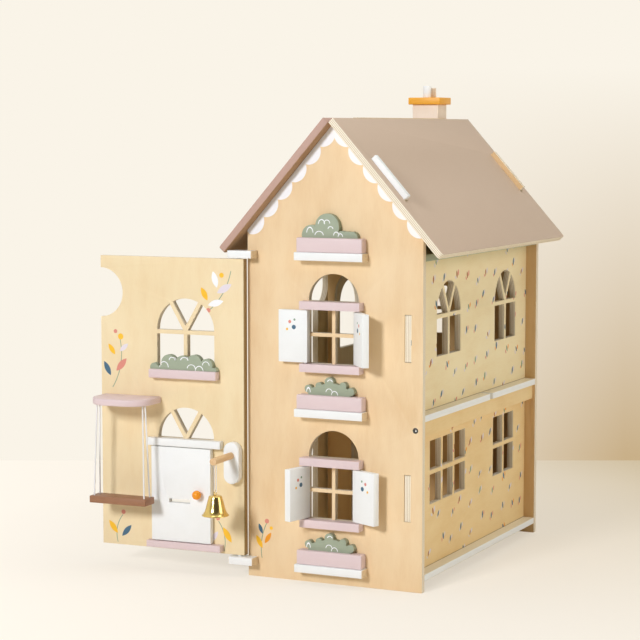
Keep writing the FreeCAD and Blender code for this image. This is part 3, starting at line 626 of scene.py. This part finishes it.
# %% Ink shapes
INK = 0.3
INK_WHITE = paint_chart(247, 247, 247)
INK_MUSTARD = paint_chart(249, 192, 48)
INK_ORANGE = paint_chart(240, 156, 40)
INK_BLUE = paint_chart(74, 108, 130)
INK_RUST = paint_chart(178, 112, 66)
INK_CORAL = paint_chart(222, 142, 124)
INK_LILAC = paint_chart(229, 218, 224)
INK_GREEN = paint_chart(138, 160, 134)


def reach(a, b):
    return (a * a + b * b) ** 0.5


def disc(a, b, centre, radius):
    return (radius - reach(a - centre[0], b - centre[1])).edge(INK)


def leaf(a, b, centre, degrees, length, width):
    """An almond shape whose long way is turned from the first axis."""
    turn = math.radians(degrees)
    u = (a - centre[0]) * math.cos(turn) + (b - centre[1]) * math.sin(turn)
    v = (b - centre[1]) * math.cos(turn) - (a - centre[0]) * math.sin(turn)
    bulge = (1.0 - (u * (2.0 / length)) ** 2.0) * (width / 2)
    return (bulge - abs(v)).edge(INK)


def stem(a, b, start, end, bow, thickness=1.1):
    """A thin line from start to end that bows sideways in the middle."""
    du, dv = end[0] - start[0], end[1] - start[1]
    length = math.hypot(du, dv)
    c, s = du / length, dv / length
    u = (a - start[0]) * c + (b - start[1]) * s
    v = (b - start[1]) * c - (a - start[0]) * s
    bend = (u * (1.0 / length)) * (1.0 - u * (1.0 / length)) * (4.0 * bow)
    inside = (u * (length - u)).edge(1.0)
    return (thickness / 2 - abs(v - bend)).edge(INK) * inside


def sprig(finish, a, b, colour, stems, leaves, berries):
    """A stem is its start, end, bow and ink; a leaf its middle, degrees, length, width and ink; a berry its
    middle, radius and ink. Each lies over those before it."""
    for start, end, bow, ink in stems:
        colour = finish.mix(stem(a, b, start, end, bow), colour, ink)
    for centre, degrees, length, width, ink in leaves:
        colour = finish.mix(leaf(a, b, centre, degrees, length, width), colour, ink)
    for centre, radius, ink in berries:
        colour = finish.mix(disc(a, b, centre, radius), colour, ink)
    return colour


# %% [markdown]
# ## Gables
# The front gable carries the scalloped trim: arcs of circles that hang from the slopes in one row and meet
# in points, down to the eaves. Folding the distance along the slope back and forth gives the whole row from
# one arc. A small sprig stands at the gable's foot. The inner faces of both gables are painted a deeper
# honey, as painted shade inside the house, and the back gable has no print. The tab that comes up through
# the roof is dipped in white.

# %% Gable finishes
SCALLOP_PITCH = 31.4
SCALLOP_RADIUS = 18.0
SCALLOP_DROP = -3.3
FIRST_SCALLOP = 21.8
LAST_CUSP = 194.5
TRIM_MIDDLE = 1.0
GABLE_SPRIG = {
    "stems": (((-107.0, 26.0), (-100.0, 74.0), 4.0, INK_GREEN),),
    "leaves": (
        ((-111.0, 48.0), 118.0, 20.0, 7.0, INK_MUSTARD),
        ((-98.0, 54.0), 58.0, 18.0, 6.5, INK_ORANGE),
        ((-109.0, 66.0), 112.0, 15.0, 5.5, INK_BLUE),
    ),
    "berries": (((-99.5, 77.0), 3.2, INK_CORAL), ((-93.0, 68.0), 2.4, INK_MUSTARD)),
}


def roof_axes(x, z):
    """How far down the slope a point of the gable lies, and how far below the slope."""
    away = abs(x)
    run = away * math.cos(ROOF_SLOPE) + (RIDGE_Z - z) * math.sin(ROOF_SLOPE)
    drop = (RIDGE_Z - z) * math.cos(ROOF_SLOPE) - away * math.sin(ROOF_SLOPE)
    return run, drop


def gable_prints_and_shade(finish, x, y, z, colour):
    run, drop = roof_axes(x - TRIM_MIDDLE, z)
    from_centre = (run - FIRST_SCALLOP).math("PINGPONG", SCALLOP_PITCH / 2)
    arc = SCALLOP_RADIUS - reach(from_centre, drop - SCALLOP_DROP)
    trim = arc.edge(INK) * (LAST_CUSP - run).edge(INK)
    # Painted shade: the inner face is darkened.
    inner = painted_inner_shade(finish, colour)
    colour = finish.mix(trim, colour, INK_WHITE)
    colour = sprig(finish, x, z, colour, **GABLE_SPRIG)
    return finish.mix((0.0 - y).edge(0.2), inner, colour)


def back_gable_inner_shade(finish, x, y, z, colour):
    # Painted shade: the inner face is darkened.
    return finish.mix(y.edge(0.2), painted_inner_shade(finish, colour), colour)


def white_tab(finish, x, y, z, colour):
    _, drop = roof_axes(x, z)
    return finish.mix((-BOARD - 0.2 - drop).edge(0.4), colour, WHITE[0])


front_gable_wood = board("front_gable_ply", (0.0, middle_of("front_gable").y, 0.0), "y", "z", HONEY,
                         prints=gable_prints_and_shade, over=white_tab)
back_gable_wood = board("back_gable_ply", (0.0, middle_of("back_gable").y, 0.0), "y", "z", HONEY, 140.0,
                        prints=back_gable_inner_shade)

# %% [markdown]
# ## Side walls
# Seeds are strewn over the walls' outer faces in small clusters. Placing them one by one would take
# hundreds of numbers. Instead the wall is cut into cells, and each cell draws three almonds round its own
# middle, which lean by chance and take one of a few quiet inks. A dark line painted at the foot of each wall
# stands for the shade in the joint with the floor, and the inner faces are painted darker as shade inside
# the house.

# %% Strewn seeds
CELL = 39.0
PAINTED_JOINT_SHADE = paint_chart(120, 92, 60)
DARK_INKS = [(0.0, INK_BLUE), (0.35, INK_GREEN), (0.6, INK_BLUE), (0.8, INK_RUST)]
LIGHT_INKS = [(0.0, INK_LILAC), (0.45, INK_CORAL), (0.7, INK_LILAC), (0.88, INK_ORANGE)]
SEEDS = (  # across, up, lean, half the length, half the width, inks
    (0.0, 0.0, 1.57, 5.4, 2.3, DARK_INKS),
    (5.2, 2.2, 1.25, 4.4, 2.0, LIGHT_INKS),
    (-4.4, -4.2, 1.95, 3.4, 1.5, LIGHT_INKS),
)


def strewn(finish, a, b, colour, seed):
    flat = finish.node("ShaderNodeCombineXYZ", {}, {"X": a + seed, "Y": b})
    cells = finish.node(
        "ShaderNodeTexVoronoi", {"voronoi_dimensions": "2D"},
        {"Vector": flat, "Scale": 1.0 / CELL, "Randomness": 0.6},
    )
    middle = cells.out("Position")
    chance = finish.node("ShaderNodeSeparateColor", {}, {"Color": cells.out("Color")})
    draws = (chance, chance.out("Green"), chance.out("Blue"))
    away = finish.node("ShaderNodeVectorMath", {"operation": "SUBTRACT"}, {0: flat, 1: middle})
    du, dv, _ = finish.split(away)
    for number, (across, up, lean, half_long, half_wide, inks) in enumerate(SEEDS):
        angle = (draws[number] - 0.5) * 1.1 + lean
        c, s = angle.math("COSINE"), angle.math("SINE")
        x, y = du - across, dv - up
        u, v = x * c + y * s, y * c - x * s
        share = draws[(number + 1) % 3] * 0.4 + 0.75
        bulge = (1.0 - (u / (share * half_long)) ** 2.0) * (share * half_wide)
        ink = finish.node("ShaderNodeValToRGB", {"stops": inks}, {"Fac": draws[(number + 2) % 3]})
        ink.socket.node.color_ramp.interpolation = "CONSTANT"
        colour = finish.mix((bulge - abs(v)).edge(INK), colour, ink)
    return colour


def wall_finish(name, node, wood, seed):
    foot = box(node)[0].z

    def prints(finish, x, y, z, colour):
        # Painted shade: the wall's inner face is darkened.
        inner = painted_inner_shade(finish, colour)
        colour = strewn(finish, y, z, colour, seed)
        colour = finish.mix(x.edge(0.2), inner, colour)
        # Painted shade: a dark line at the wall's foot, where it meets the floor.
        return finish.mix((foot + 0.9 - z).edge(0.8) * 0.65, colour, PAINTED_JOINT_SHADE)

    return board(name, (middle_of(node).x, 0.0, 0.0), "x", "y", wood, seed, prints=prints)


lower_wall_wood = wall_finish("side_wall_lower_ply", "side_wall_lower", LOW_HONEY, 260.0)
upper_wall_wood = wall_finish("side_wall_upper_ply", "side_wall_upper", SIDE_HONEY, 290.0)

# %% [markdown]
# ## Door wings
# The front wing's ornament is laid out in its own axes, from the hinge to the free edge: a berry branch
# hangs down beside the hinge above the window, a sprig climbs by the free edge, and short leaves stand at
# its foot. Because the axes turn with the wing, the places stay plain distances. Its cut edge beside the
# hinge is painted darker, as painted shade in the gap by the gable. The rear wing is plain.

# %% Wing finishes
# Painted shade on the wing's cut edge beside the hinge, in the narrow gap by the gable.
HINGE_GAP_SHADE = paint_chart(160, 132, 86)
GAP_SHADE_DEPTH = 1.2
HINGE_EDGE = box("front_wing")[1].x - WING_AXIS.x - GAP_SHADE_DEPTH
WING_SPRIGS = {
    "stems": (
        ((10.0, 416.0), (58.0, 352.0), -9.0, INK_GREEN),
        ((192.0, 250.0), (180.0, 318.0), 7.0, INK_GREEN),
        ((22.0, 33.0), (30.0, 74.0), 5.0, INK_GREEN),
        ((186.0, 33.0), (178.0, 72.0), -5.0, INK_GREEN),
    ),
    "leaves": (
        ((20.0, 392.0), 150.0, 25.0, 9.5, INK_LILAC),
        ((34.0, 404.0), 75.0, 23.0, 9.0, INK_WHITE),
        ((33.0, 372.0), 165.0, 24.0, 9.0, INK_WHITE),
        ((50.0, 384.0), 62.0, 20.0, 8.0, INK_MUSTARD),
        ((52.0, 352.0), 175.0, 19.0, 7.5, INK_LILAC),
        ((200.0, 276.0), 62.0, 22.0, 8.0, INK_BLUE),
        ((178.0, 282.0), 132.0, 24.0, 9.0, INK_CORAL),
        ((193.0, 303.0), 55.0, 18.0, 7.0, INK_MUSTARD),
        ((174.0, 306.0), 140.0, 17.0, 6.5, INK_LILAC),
        ((17.0, 56.0), 58.0, 24.0, 8.5, INK_MUSTARD),
        ((37.0, 52.0), 128.0, 20.0, 7.0, INK_LILAC),
        ((193.0, 54.0), 52.0, 22.0, 8.0, INK_MUSTARD),
        ((172.0, 50.0), 132.0, 22.0, 7.5, INK_BLUE),
    ),
    "berries": (
        ((60.0, 349.0), 4.4, INK_MUSTARD), ((44.0, 362.0), 3.2, INK_CORAL), ((24.0, 410.0), 3.4, INK_MUSTARD),
        ((179.0, 321.0), 4.2, INK_MUSTARD), ((187.0, 328.0), 2.8, INK_CORAL), ((177.0, 76.0), 3.2, INK_CORAL),
        ((31.0, 78.0), 3.0, INK_CORAL),
    ),
}


def wing_prints(finish, x, y, z, colour):
    printed = sprig(finish, -x, z, colour, **WING_SPRIGS)
    return finish.mix((0.0 - y).edge(0.2), colour, printed)


def shaded_hinge_edge(finish, x, y, z, colour):
    """The cut edge beside the hinge is painted darker, as painted shade in the gap by the gable."""
    return finish.mix((x - HINGE_EDGE).edge(0.3), colour, HINGE_GAP_SHADE)


wing_wood = board("front_wing_ply", (WING_AXIS.x, WING_AXIS.y, 0.0), "y", "z", PALE_HONEY, 70.0,
                  (0.0, 0.0, WING_TURN), wing_prints, shaded_hinge_edge)
rear_wood = board("rear_wing_ply", (REAR_AXIS.x, 0.0, 0.0), "x", "z", PALE_HONEY, 90.0)

# %% [markdown]
# ## Floors, partition and roof
# The floors have a pale cream coat and white edges, the attic floor is sage all over, and the roof is
# painted only on its outer side over bare plies. The flap's edge is painted too, and its bare underside is a
# darker wood as painted shade under the overhang. These boards share one function, since they differ only
# in which sides and edges have paint.

# %% Painted boards
PAINT_SKIN = 0.4


def painted_board(name, origin, through, coat, thickness=BOARD, turn=(0.0, 0.0, 0.0), sides=(1, -1),
                  edge=None, faces=HONEY):
    """Paint on one or both faces of a board. edge is a paint for its edges, or None for bare plies."""
    finish = Finish(name)
    spot = finish.place(origin, turn)
    depth = finish.split(spot)[AXES[through]]
    brushed = finish.noise(finish.stretch(spot, (0.9, 0.10, 0.9)), 1.1, 4.0, 0.6)
    clouds = finish.noise(spot, 0.02, 3.0, 0.55)
    thin = (clouds * 0.6 + brushed * 0.4 - 0.5).edge(0.6) * 0.35
    colour, _ = veneer(finish, spot, "y", faces, 11.0)
    for side in sides:
        colour = finish.mix((depth * float(side)).edge(1.0), colour, finish.mix(thin, *coat))
    rim = finish.mix(thin, *edge) if edge else plies(finish, depth, spot, thickness)
    face = (abs(depth) - (thickness / 2 - PAINT_SKIN)).edge(0.25)
    finish.bump(brushed, 0.05, 0.4)
    colour = finish.mix(face, rim, colour)
    print(name, "on", len(sides), "faces of", round(thickness, 1), "mm")
    return finish.set(Base_Color=colour, Roughness=0.58 + (brushed - 0.5) * 0.1, Specular_IOR_Level=0.3)


LEDGE = (paint_chart(238, 226, 196), paint_chart(230, 214, 180))
INNER = (paint_chart(222, 184, 128), paint_chart(212, 172, 114))
# Painted shade: a darker wood for the flap's bare underside, standing for the shade under its overhang.
FLAP_UNDERSIDE_SHADE = (paint_chart(178, 143, 108), paint_chart(170, 135, 100), paint_chart(158, 122, 88))
floor_paint = painted_board("floor_paint", middle_of("bottom_floor"), "z", LEDGE, edge=WHITE)
mid_paint = painted_board("mid_floor_paint", middle_of("mid_floor_front"), "z", LEDGE, edge=WHITE)
attic_paint = painted_board("attic_floor_paint", middle_of("attic_floor"), "z", SAGE, edge=SAGE)
partition_paint = painted_board("partition_paint", middle_of("partition"), "y", INNER)
flap_high = Vector((-math.sin(ROOF_SLOPE), 0.0, math.cos(ROOF_SLOPE)))
roof_high = Vector((math.sin(ROOF_SLOPE), 0.0, math.cos(ROOF_SLOPE)))
FLAP = 10.0
ridge = Vector((0.0, 0.0, RIDGE_Z))
roof_paint = painted_board("roof_paint", ridge + roof_high * (BOARD / 2), "z", TAUPE,
                           turn=(0.0, ROOF_SLOPE, 0.0), sides=(1,))
flap_paint = painted_board("flap_paint", ridge + flap_high * (FLAP / 2), "z", ROSE_TAUPE, FLAP,
                           (0.0, -ROOF_SLOPE, 0.0), (1,), ROSE_TAUPE, FLAP_UNDERSIDE_SHADE)
print("roof slope", round(math.degrees(ROOF_SLOPE), 1), "degrees")

# %% [markdown]
# ## Bushes
# A bush is cut from a board and painted sage. A few thin white strokes, each the upper half of an ellipse,
# hint at its leaves. A stroke is given by the two corners of its box, across from the middle and up from
# the foot, so that it can be read off the bush with a ruler.

# %% Bush paint
STROKE_HALF = 0.5


def arches(strokes):
    def paint(finish, x, y, z, colour):
        for x0, x1, z0, z1 in strokes:
            half, rise = (x1 - x0) / 2, z1 - z0
            u, v = (x - (x0 + x1) / 2) * (1.0 / half), (z - z0) * (1.0 / rise)
            line = (STROKE_HALF - abs(reach(u, v) - 1.0) * min(half, rise)).edge(INK)
            colour = finish.mix(line * v.edge(0.2) * (0.0 - y).edge(0.2), colour, INK_WHITE)
        return colour
    return paint


LOW_STROKES = (
    (-4.5, 2.0, 18.5, 21.0), (-7.0, 2.0, 4.5, 9.0), (1.0, 10.0, 1.0, 6.0), (-35.5, -30.0, 3.0, 9.0),
)
TALL_STROKES = (
    (-35.0, -26.0, 6.5, 13.5), (-23.0, -11.0, 3.5, 8.5), (-18.0, -9.0, 18.0, 24.0), (-10.0, -1.5, 19.0, 23.5),
    (-4.0, 3.0, 12.0, 15.0), (4.0, 11.5, 3.5, 8.0), (10.5, 17.0, 2.0, 6.0),
)
WIDE_STROKES = (
    (-35.0, -22.0, 3.0, 10.5), (-20.5, -11.5, 13.0, 17.0), (-3.0, 8.0, 13.5, 17.5), (7.0, 19.0, 3.0, 8.0),
    (19.0, 31.0, -1.0, 6.5), (30.0, 40.0, 8.0, 13.0),
)
WING_WINDOW_U = 78.8


def bush_finish(node, strokes):
    low, high = box(node)
    turn, middle = (0.0, 0.0, 0.0), Vector((0.0, (low.y + high.y) / 2, low.z))
    if node == "wing_bush":
        turn = (0.0, 0.0, WING_TURN)
        middle = on_wing(WING_WINDOW_U, BOARD / 2, low.z)
    return painted(node + "_sage", SAGE, 0.6, strokes=arches(strokes), base=(middle, turn))


# %% [markdown]
# ## Shutter ornament
# Each shutter has a small cluster of dots on both faces, laid out from the shutter's own pin. The shutters
# stand open at different angles, so the turn is worked out from where the pin and the leaf's middle lie.

# %% Shutter paint
DOTS = (  # across, up, radius, ink
    (15.0, 12.0, 3.0, INK_BLUE), (21.0, 19.0, 2.2, INK_CORAL),
    (25.0, 9.0, 1.7, INK_MUSTARD), (14.0, 22.0, 1.5, INK_GREEN),
)


def dots(finish, x, y, z, colour):
    on_face = (abs(y) - BOARD / 2 + 0.5).edge(0.3)
    for across, up, radius, ink in DOTS:
        colour = finish.mix(disc(x, z, (across, up), radius) * on_face, colour, ink)
    return colour


def shutter_finish(node):
    middle = middle_of(node)
    level, _, side = node.split("_")
    pin = AXIS_OF[f"{level} {side} shutter swings"]
    turn = math.atan2(middle.y - pin.y, middle.x - pin.x)
    base = (Vector((pin.x, pin.y, middle.z)), (0.0, 0.0, turn))
    print(node, "stands at", round(math.degrees(turn), 1), "degrees")
    return painted(node + "_white", WHITE, strokes=dots, base=base)


# %% [markdown]
# ## Metal, cotton and dowel
# The bell is thin polished brass, the bolts are darkened steel with a brighter socket, and the ridge hinge
# is a duller brass strip. A metal's colour is its reflection, so the finishes differ in roughness more than
# in tone. The ropes and the bell's string are twisted cotton, and the peg is a dowel of bare wood.

# %% Metals and cotton
BRIGHT = paint_chart(214, 212, 206)
BELL_BRASS = (paint_chart(232, 205, 130), paint_chart(212, 180, 104))
DULL_BRASS = (paint_chart(206, 180, 128), paint_chart(180, 150, 98))
DARK_STEEL = (paint_chart(96, 94, 90), paint_chart(70, 68, 64))
COTTON_PALE, COTTON_SHADE = paint_chart(248, 247, 245), paint_chart(212, 208, 202)
DOWEL = (HONEY[0], HONEY[2], paint_chart(214, 170, 124))
SOCKET_RADIUS = 1.3


def metal(name, colours, roughness, origin=(0.0, 0.0, 0.0), socket=None):
    """A metal in two near colours. socket is the radius of a brighter disc about the origin."""
    finish = Finish(name)
    spot = finish.place(origin)
    smudge = finish.noise(spot, 0.25, 4.0, 0.6)
    finish.bump(finish.noise(finish.stretch(spot, (0.05, 0.05, 3.0)), 1.2, 2.0, 0.5), 0.012, 0.3)
    tone = finish.mix((smudge - 0.5).edge(0.6) * 0.5, *colours)
    if socket:
        x, _, z = finish.split(spot)
        tone = finish.mix(disc(x, z, (0.0, 0.0), socket), tone, BRIGHT)
    print(name, "roughness", roughness)
    return finish.set(Base_Color=tone, Metallic=1.0, Roughness=roughness + (smudge - 0.5) * 0.12)


brass = metal("bell_brass", BELL_BRASS, 0.17)
hinge_brass = metal("hinge_brass", DULL_BRASS, 0.38)
steel = metal("bolt_steel", DARK_STEEL, 0.34, middle_of("rail_bolt_front"), SOCKET_RADIUS)


def twisted_cotton(name, pitch):
    finish = Finish(name)
    spot = finish.place()
    x, y, z = finish.split(spot)
    twist = ((z * (1.0 / pitch) + x * 0.35 + y * 0.35) * math.tau).math("SINE")
    fuzz = finish.noise(spot, 2.5, 3.0, 0.6)
    tone = finish.mix((twist * 0.5 + 0.2).edge(1.2) * 0.4, COTTON_PALE, COTTON_SHADE)
    finish.bump(twist * 0.5 + fuzz * 0.5, 0.25, 0.7)
    return finish.set(Base_Color=tone, Roughness=0.9)


cotton = twisted_cotton("cotton_cord", 3.0)
for curve in cord_curves:
    curve.materials.append(cotton)
dowel = solid_wood("dowel_wood", "bell_peg", "y", DOWEL, 400.0)

# %% [markdown]
# ## Eased edges
# Sawn boards have their edges sanded. Each CAD piece is copied, its loose triangles are merged and joined
# to flat faces again, and its sharp edges get a small round. Flat faces stay flat-shaded and only the
# rounds and the curved walls are smooth, so a wide panel shows no shading from its corners. The copy rides
# on the same body and stands for its CAD piece.

# %% Eased copies
SAME_FLAT = math.radians(0.8)
GENTLE = math.radians(32)
SHARP = math.radians(35)
SHADED_SHARP = math.radians(50)
NARROW = 8.5 * MM


def is_curved(face):
    """A narrow flat with a gentle bend to its neighbour on two sides lies on a round."""
    inner = [e for e in face.edges if len(e.link_faces) == 2]
    gentle = [e for e in inner if SAME_FLAT < e.calc_face_angle(0.0) < GENTLE]
    longest = max(e.calc_length() for e in face.edges)
    return len(gentle) >= 2 and face.calc_area() / longest < NARROW


def show(name, work, material, node):
    """Makes a shown piece from a finished bmesh, which stands for a CAD node."""
    data = bpy.data.meshes.new(name)
    work.to_mesh(data)
    work.free()
    piece = bpy.data.objects.new(name, data)
    scene.collection.objects.link(piece)
    data.materials.append(material)
    data.set_sharp_from_angle(angle=SHADED_SHARP)
    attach(piece, BODY_OF[node])
    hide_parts(node)
    return piece


def dress(node, material, radius, segments=2):
    work = bmesh.new()
    work.from_mesh(frame["nodes"][node].data)
    bmesh.ops.remove_doubles(work, verts=work.verts, dist=1e-6)
    bmesh.ops.dissolve_limit(work, angle_limit=SAME_FLAT, verts=work.verts, edges=work.edges)
    for face in work.faces:
        face.smooth = is_curved(face)
    inner = [e for e in work.edges if len(e.link_faces) == 2]
    sharp = [e for e in inner if e.calc_face_angle(0.0) > SHARP]
    if radius:
        eased = bmesh.ops.bevel(
            work, geom=sharp, offset=radius * MM, offset_type="OFFSET", segments=segments, profile=0.5,
            affect="EDGES", material=-1, clamp_overlap=True,
        )
        for face in eased["faces"]:
            face.smooth = True
    return show(node + "_eased", work, material, node)


# %% [markdown]
# How far an edge is rounded tells how a piece was made: boards keep nearly the saw's edge, small pieces are
# sanded, and the pink sills and boxes are rounded like soap. So each piece gets its finish and its radius
# here.

# %% Boards
SAWN, SANDED, SOFT = 0.35, 0.9, 1.7
rail_wood = solid_wood("rail_wood", "support_rail", "y", LOW_HONEY, 510.0)
for node, finish, radius in (
    ("front_gable", front_gable_wood, SAWN), ("back_gable", back_gable_wood, SAWN),
    ("side_wall_lower", lower_wall_wood, SAWN), ("side_wall_upper", upper_wall_wood, SAWN),
    ("front_wing", wing_wood, SAWN), ("rear_wing", rear_wood, SAWN), ("bottom_floor", floor_paint, SAWN),
    ("mid_floor_front", mid_paint, SAWN), ("mid_floor_back", mid_paint, SAWN),
    ("attic_floor", attic_paint, SAWN), ("partition", partition_paint, SAWN),
    ("support_rail", rail_wood, SAWN), ("roof_panel", roof_paint, 0.6), ("roof_flap", flap_paint, SANDED),
):
    dress(node, finish, radius)

# %% Painted pieces
BARE_END = 0.4


def sawn_ends(node):
    """The two places along x past which a piece's ends are bare."""
    low, high = box(node)
    return low.x + BARE_END, high.x - BARE_END


for node in ("upper_lintel", "upper_sill", "lower_lintel", "lower_sill", "flower_box_top",
             "flower_box_middle", "flower_box_bottom", "wing_planter", "doorstep", "swing_canopy"):
    dress(node, pink, SOFT, 3)
dress("door_lintel", white, SOFT, 3)
dress("bell_plate", white, SOFT, 3)
dress("door_leaf", white, 0.7)
dress("chimney_pot_front", white, 0.5)
for node in ("upper_shutter_left", "upper_shutter_right", "lower_shutter_left", "lower_shutter_right"):
    dress(node, shutter_finish(node), SANDED)
base_white = painted("box_base_white", WHITE, bare_ends=sawn_ends("box_base_top"))
for level in ("top", "middle", "bottom"):
    dress("box_base_" + level, base_white, SANDED)
block_white = painted("hinge_block_white", WHITE, bare_ends=sawn_ends("hinge_block_front_top"))
for place in ("front_top", "front_bottom", "back_top", "back_bottom"):
    dress("hinge_block_" + place, block_white, SANDED)
for node, strokes in (("bush_top", TALL_STROKES), ("bush_middle", LOW_STROKES), ("bush_bottom", LOW_STROKES),
                      ("wing_bush", WIDE_STROKES)):
    dress(node, bush_finish(node, strokes), SANDED)

# %% Chimney, swing, peg and metal
CHIMNEY_HONEY = (paint_chart(252, 238, 218), paint_chart(250, 232, 208), paint_chart(240, 216, 186))
dress("chimney_block", solid_wood("chimney_wood", "chimney_block", "z", CHIMNEY_HONEY, 620.0), SANDED)
dress("chimney_pot_back", solid_wood("pot_wood", "chimney_pot_back", "z", CHIMNEY_HONEY, 640.0), 0.5)
dress("chimney_cap", amber, SANDED)
dress("swing_seat", chestnut, SANDED)
dress("bell_peg", dowel, SAWN)
for node in ("rail_bolt_front", "rail_bolt_back"):
    dress(node, steel, 0.2)
for node in ("ridge_leaf_fixed", "ridge_leaf_moving"):
    dress(node, hinge_brass, 0.0)

# %% [markdown]
# ## Turned pieces
# The knob, the bell and the clapper are turned on a lathe, and so they are here: half of the outline is
# drawn as a few points from the axis outwards, joined by edges, and spun round the axis. The bell's outline
# goes up again inside, so its wall has its real thickness.

# %% Lathe
def lathe(profile, steps=64):
    """A closed solid of revolution about the Z axis, from its half outline as (radius, height)."""
    work = bmesh.new()
    points = [work.verts.new((r * MM, 0.0, z * MM)) for r, z in profile]
    line = [work.edges.new(pair) for pair in zip(points, points[1:])]
    bmesh.ops.spin(work, geom=points + line, cent=(0, 0, 0), axis=(0, 0, 1), dvec=(0, 0, 0),
                   angle=math.tau, steps=steps, use_merge=True, use_duplicate=False)
    bmesh.ops.remove_doubles(work, verts=work.verts, dist=1e-6)
    bmesh.ops.recalc_face_normals(work, faces=work.faces)
    for face in work.faces:
        face.smooth = True
    return work


def put(work, spot, tip=0.0):
    """Tips a turned piece about X, then turns it with the wing and sets it in its place."""
    turn = Matrix.Rotation(WING_TURN, 3, "Z") @ Matrix.Rotation(tip, 3, "X")
    bmesh.ops.rotate(work, verts=work.verts, cent=(0, 0, 0), matrix=turn)
    bmesh.ops.translate(work, verts=work.verts, vec=spot * MM)


# %% [markdown]
# The bell hangs by a ring of wire on its crown, which is a small circle spun about the ring's middle.

# %% The bell
BELL_TOP = 121.5
BELL_OUTSIDE = (
    (0.0, 0.0), (7.0, 0.0), (8.3, -0.4), (9.0, -1.4), (9.5, -3.6), (10.3, -6.5), (11.2, -9.6), (12.1, -13.0),
    (12.9, -16.5), (13.9, -19.8), (15.2, -22.6), (16.9, -25.0), (18.1, -26.1), (18.3, -26.6), (17.9, -27.0),
)
BELL_INSIDE = (
    (17.0, -26.8), (15.6, -25.0), (13.9, -22.6), (12.6, -19.8), (11.6, -16.5), (10.8, -13.0), (9.9, -9.6),
    (9.0, -6.5), (8.2, -3.6), (7.6, -1.7), (0.0, -1.3),
)
RING_RADIUS, RING_WIRE = 3.1, 0.5
bell = lathe(BELL_OUTSIDE + BELL_INSIDE, steps=72)
ring = bmesh.ops.create_circle(bell, segments=12, radius=RING_WIRE * MM)["verts"]
for axis in ("Y", "Z"):
    bmesh.ops.rotate(bell, verts=ring, cent=(0, 0, 0), matrix=Matrix.Rotation(math.pi / 2, 3, axis))
bmesh.ops.translate(bell, verts=ring, vec=(0.0, 0.0, 2 * RING_RADIUS * MM))
ring_edges = list({edge for vert in ring for edge in vert.link_edges})
bmesh.ops.spin(bell, geom=ring + ring_edges, cent=(0, 0, RING_RADIUS * MM), axis=(1, 0, 0), dvec=(0, 0, 0),
               angle=math.tau, steps=36, use_merge=True, use_duplicate=False)
bmesh.ops.recalc_face_normals(bell, faces=bell.faces)
for face in bell.faces:
    face.smooth = True
put(bell, on_wing(BELL_U, BELL_OUT, BELL_TOP))
show("bell_turned", bell, brass, "bell")
print("bell", -BELL_OUTSIDE[-1][1], "mm high")


# %% [markdown]
# The knob is a ball on a short neck, and the clapper a ball on a thin rod. Both start from the half outline
# of a ball that ends in a level foot, where the neck or the rod joins it.

# %% Knob and clapper
KNOB_RADIUS, KNOB_NECK, KNOB_NECK_LENGTH = 6.3, 3.0, 2.0
KNOB_U, KNOB_Z = 54.5, 111.0
DOOR_STANDS_OUT = 1.0
CLAPPER_RADIUS, CLAPPER_MIDDLE = 3.4, 101.7
ROD_RADIUS, ROD_TOP = 0.8, 119.8


def ball(radius, flat, count=14):
    """The half outline of a ball about the origin; flat is the radius of its level foot."""
    start = math.asin(flat / radius)
    turns = [math.pi - (math.pi - start) * i / count for i in range(count + 1)]
    return [(radius * math.sin(a), -radius * math.cos(a)) for a in turns]


knob_rise = KNOB_NECK_LENGTH + math.sqrt(KNOB_RADIUS ** 2 - KNOB_NECK ** 2)
knob = lathe(ball(KNOB_RADIUS, KNOB_NECK) + [(KNOB_NECK, -knob_rise), (0.0, -knob_rise)], steps=48)
put(knob, on_wing(KNOB_U, DOOR_STANDS_OUT + BOARD + knob_rise, KNOB_Z), math.pi / 2)
show("door_knob_turned", knob, orange, "door_knob")

rod_rise = ROD_TOP - CLAPPER_MIDDLE
clapper_line = [(0.0, rod_rise), (ROD_RADIUS, rod_rise)]
clapper_line += [(r, -z) for r, z in reversed(ball(CLAPPER_RADIUS, ROD_RADIUS))]
clapper = lathe(clapper_line, steps=32)
put(clapper, on_wing(BELL_U, BELL_OUT, CLAPPER_MIDDLE))
show("clapper_turned", clapper, brass, "bell_clapper")
print("knob", 2 * KNOB_RADIUS, "mm across, clapper", 2 * CLAPPER_RADIUS, "mm across")
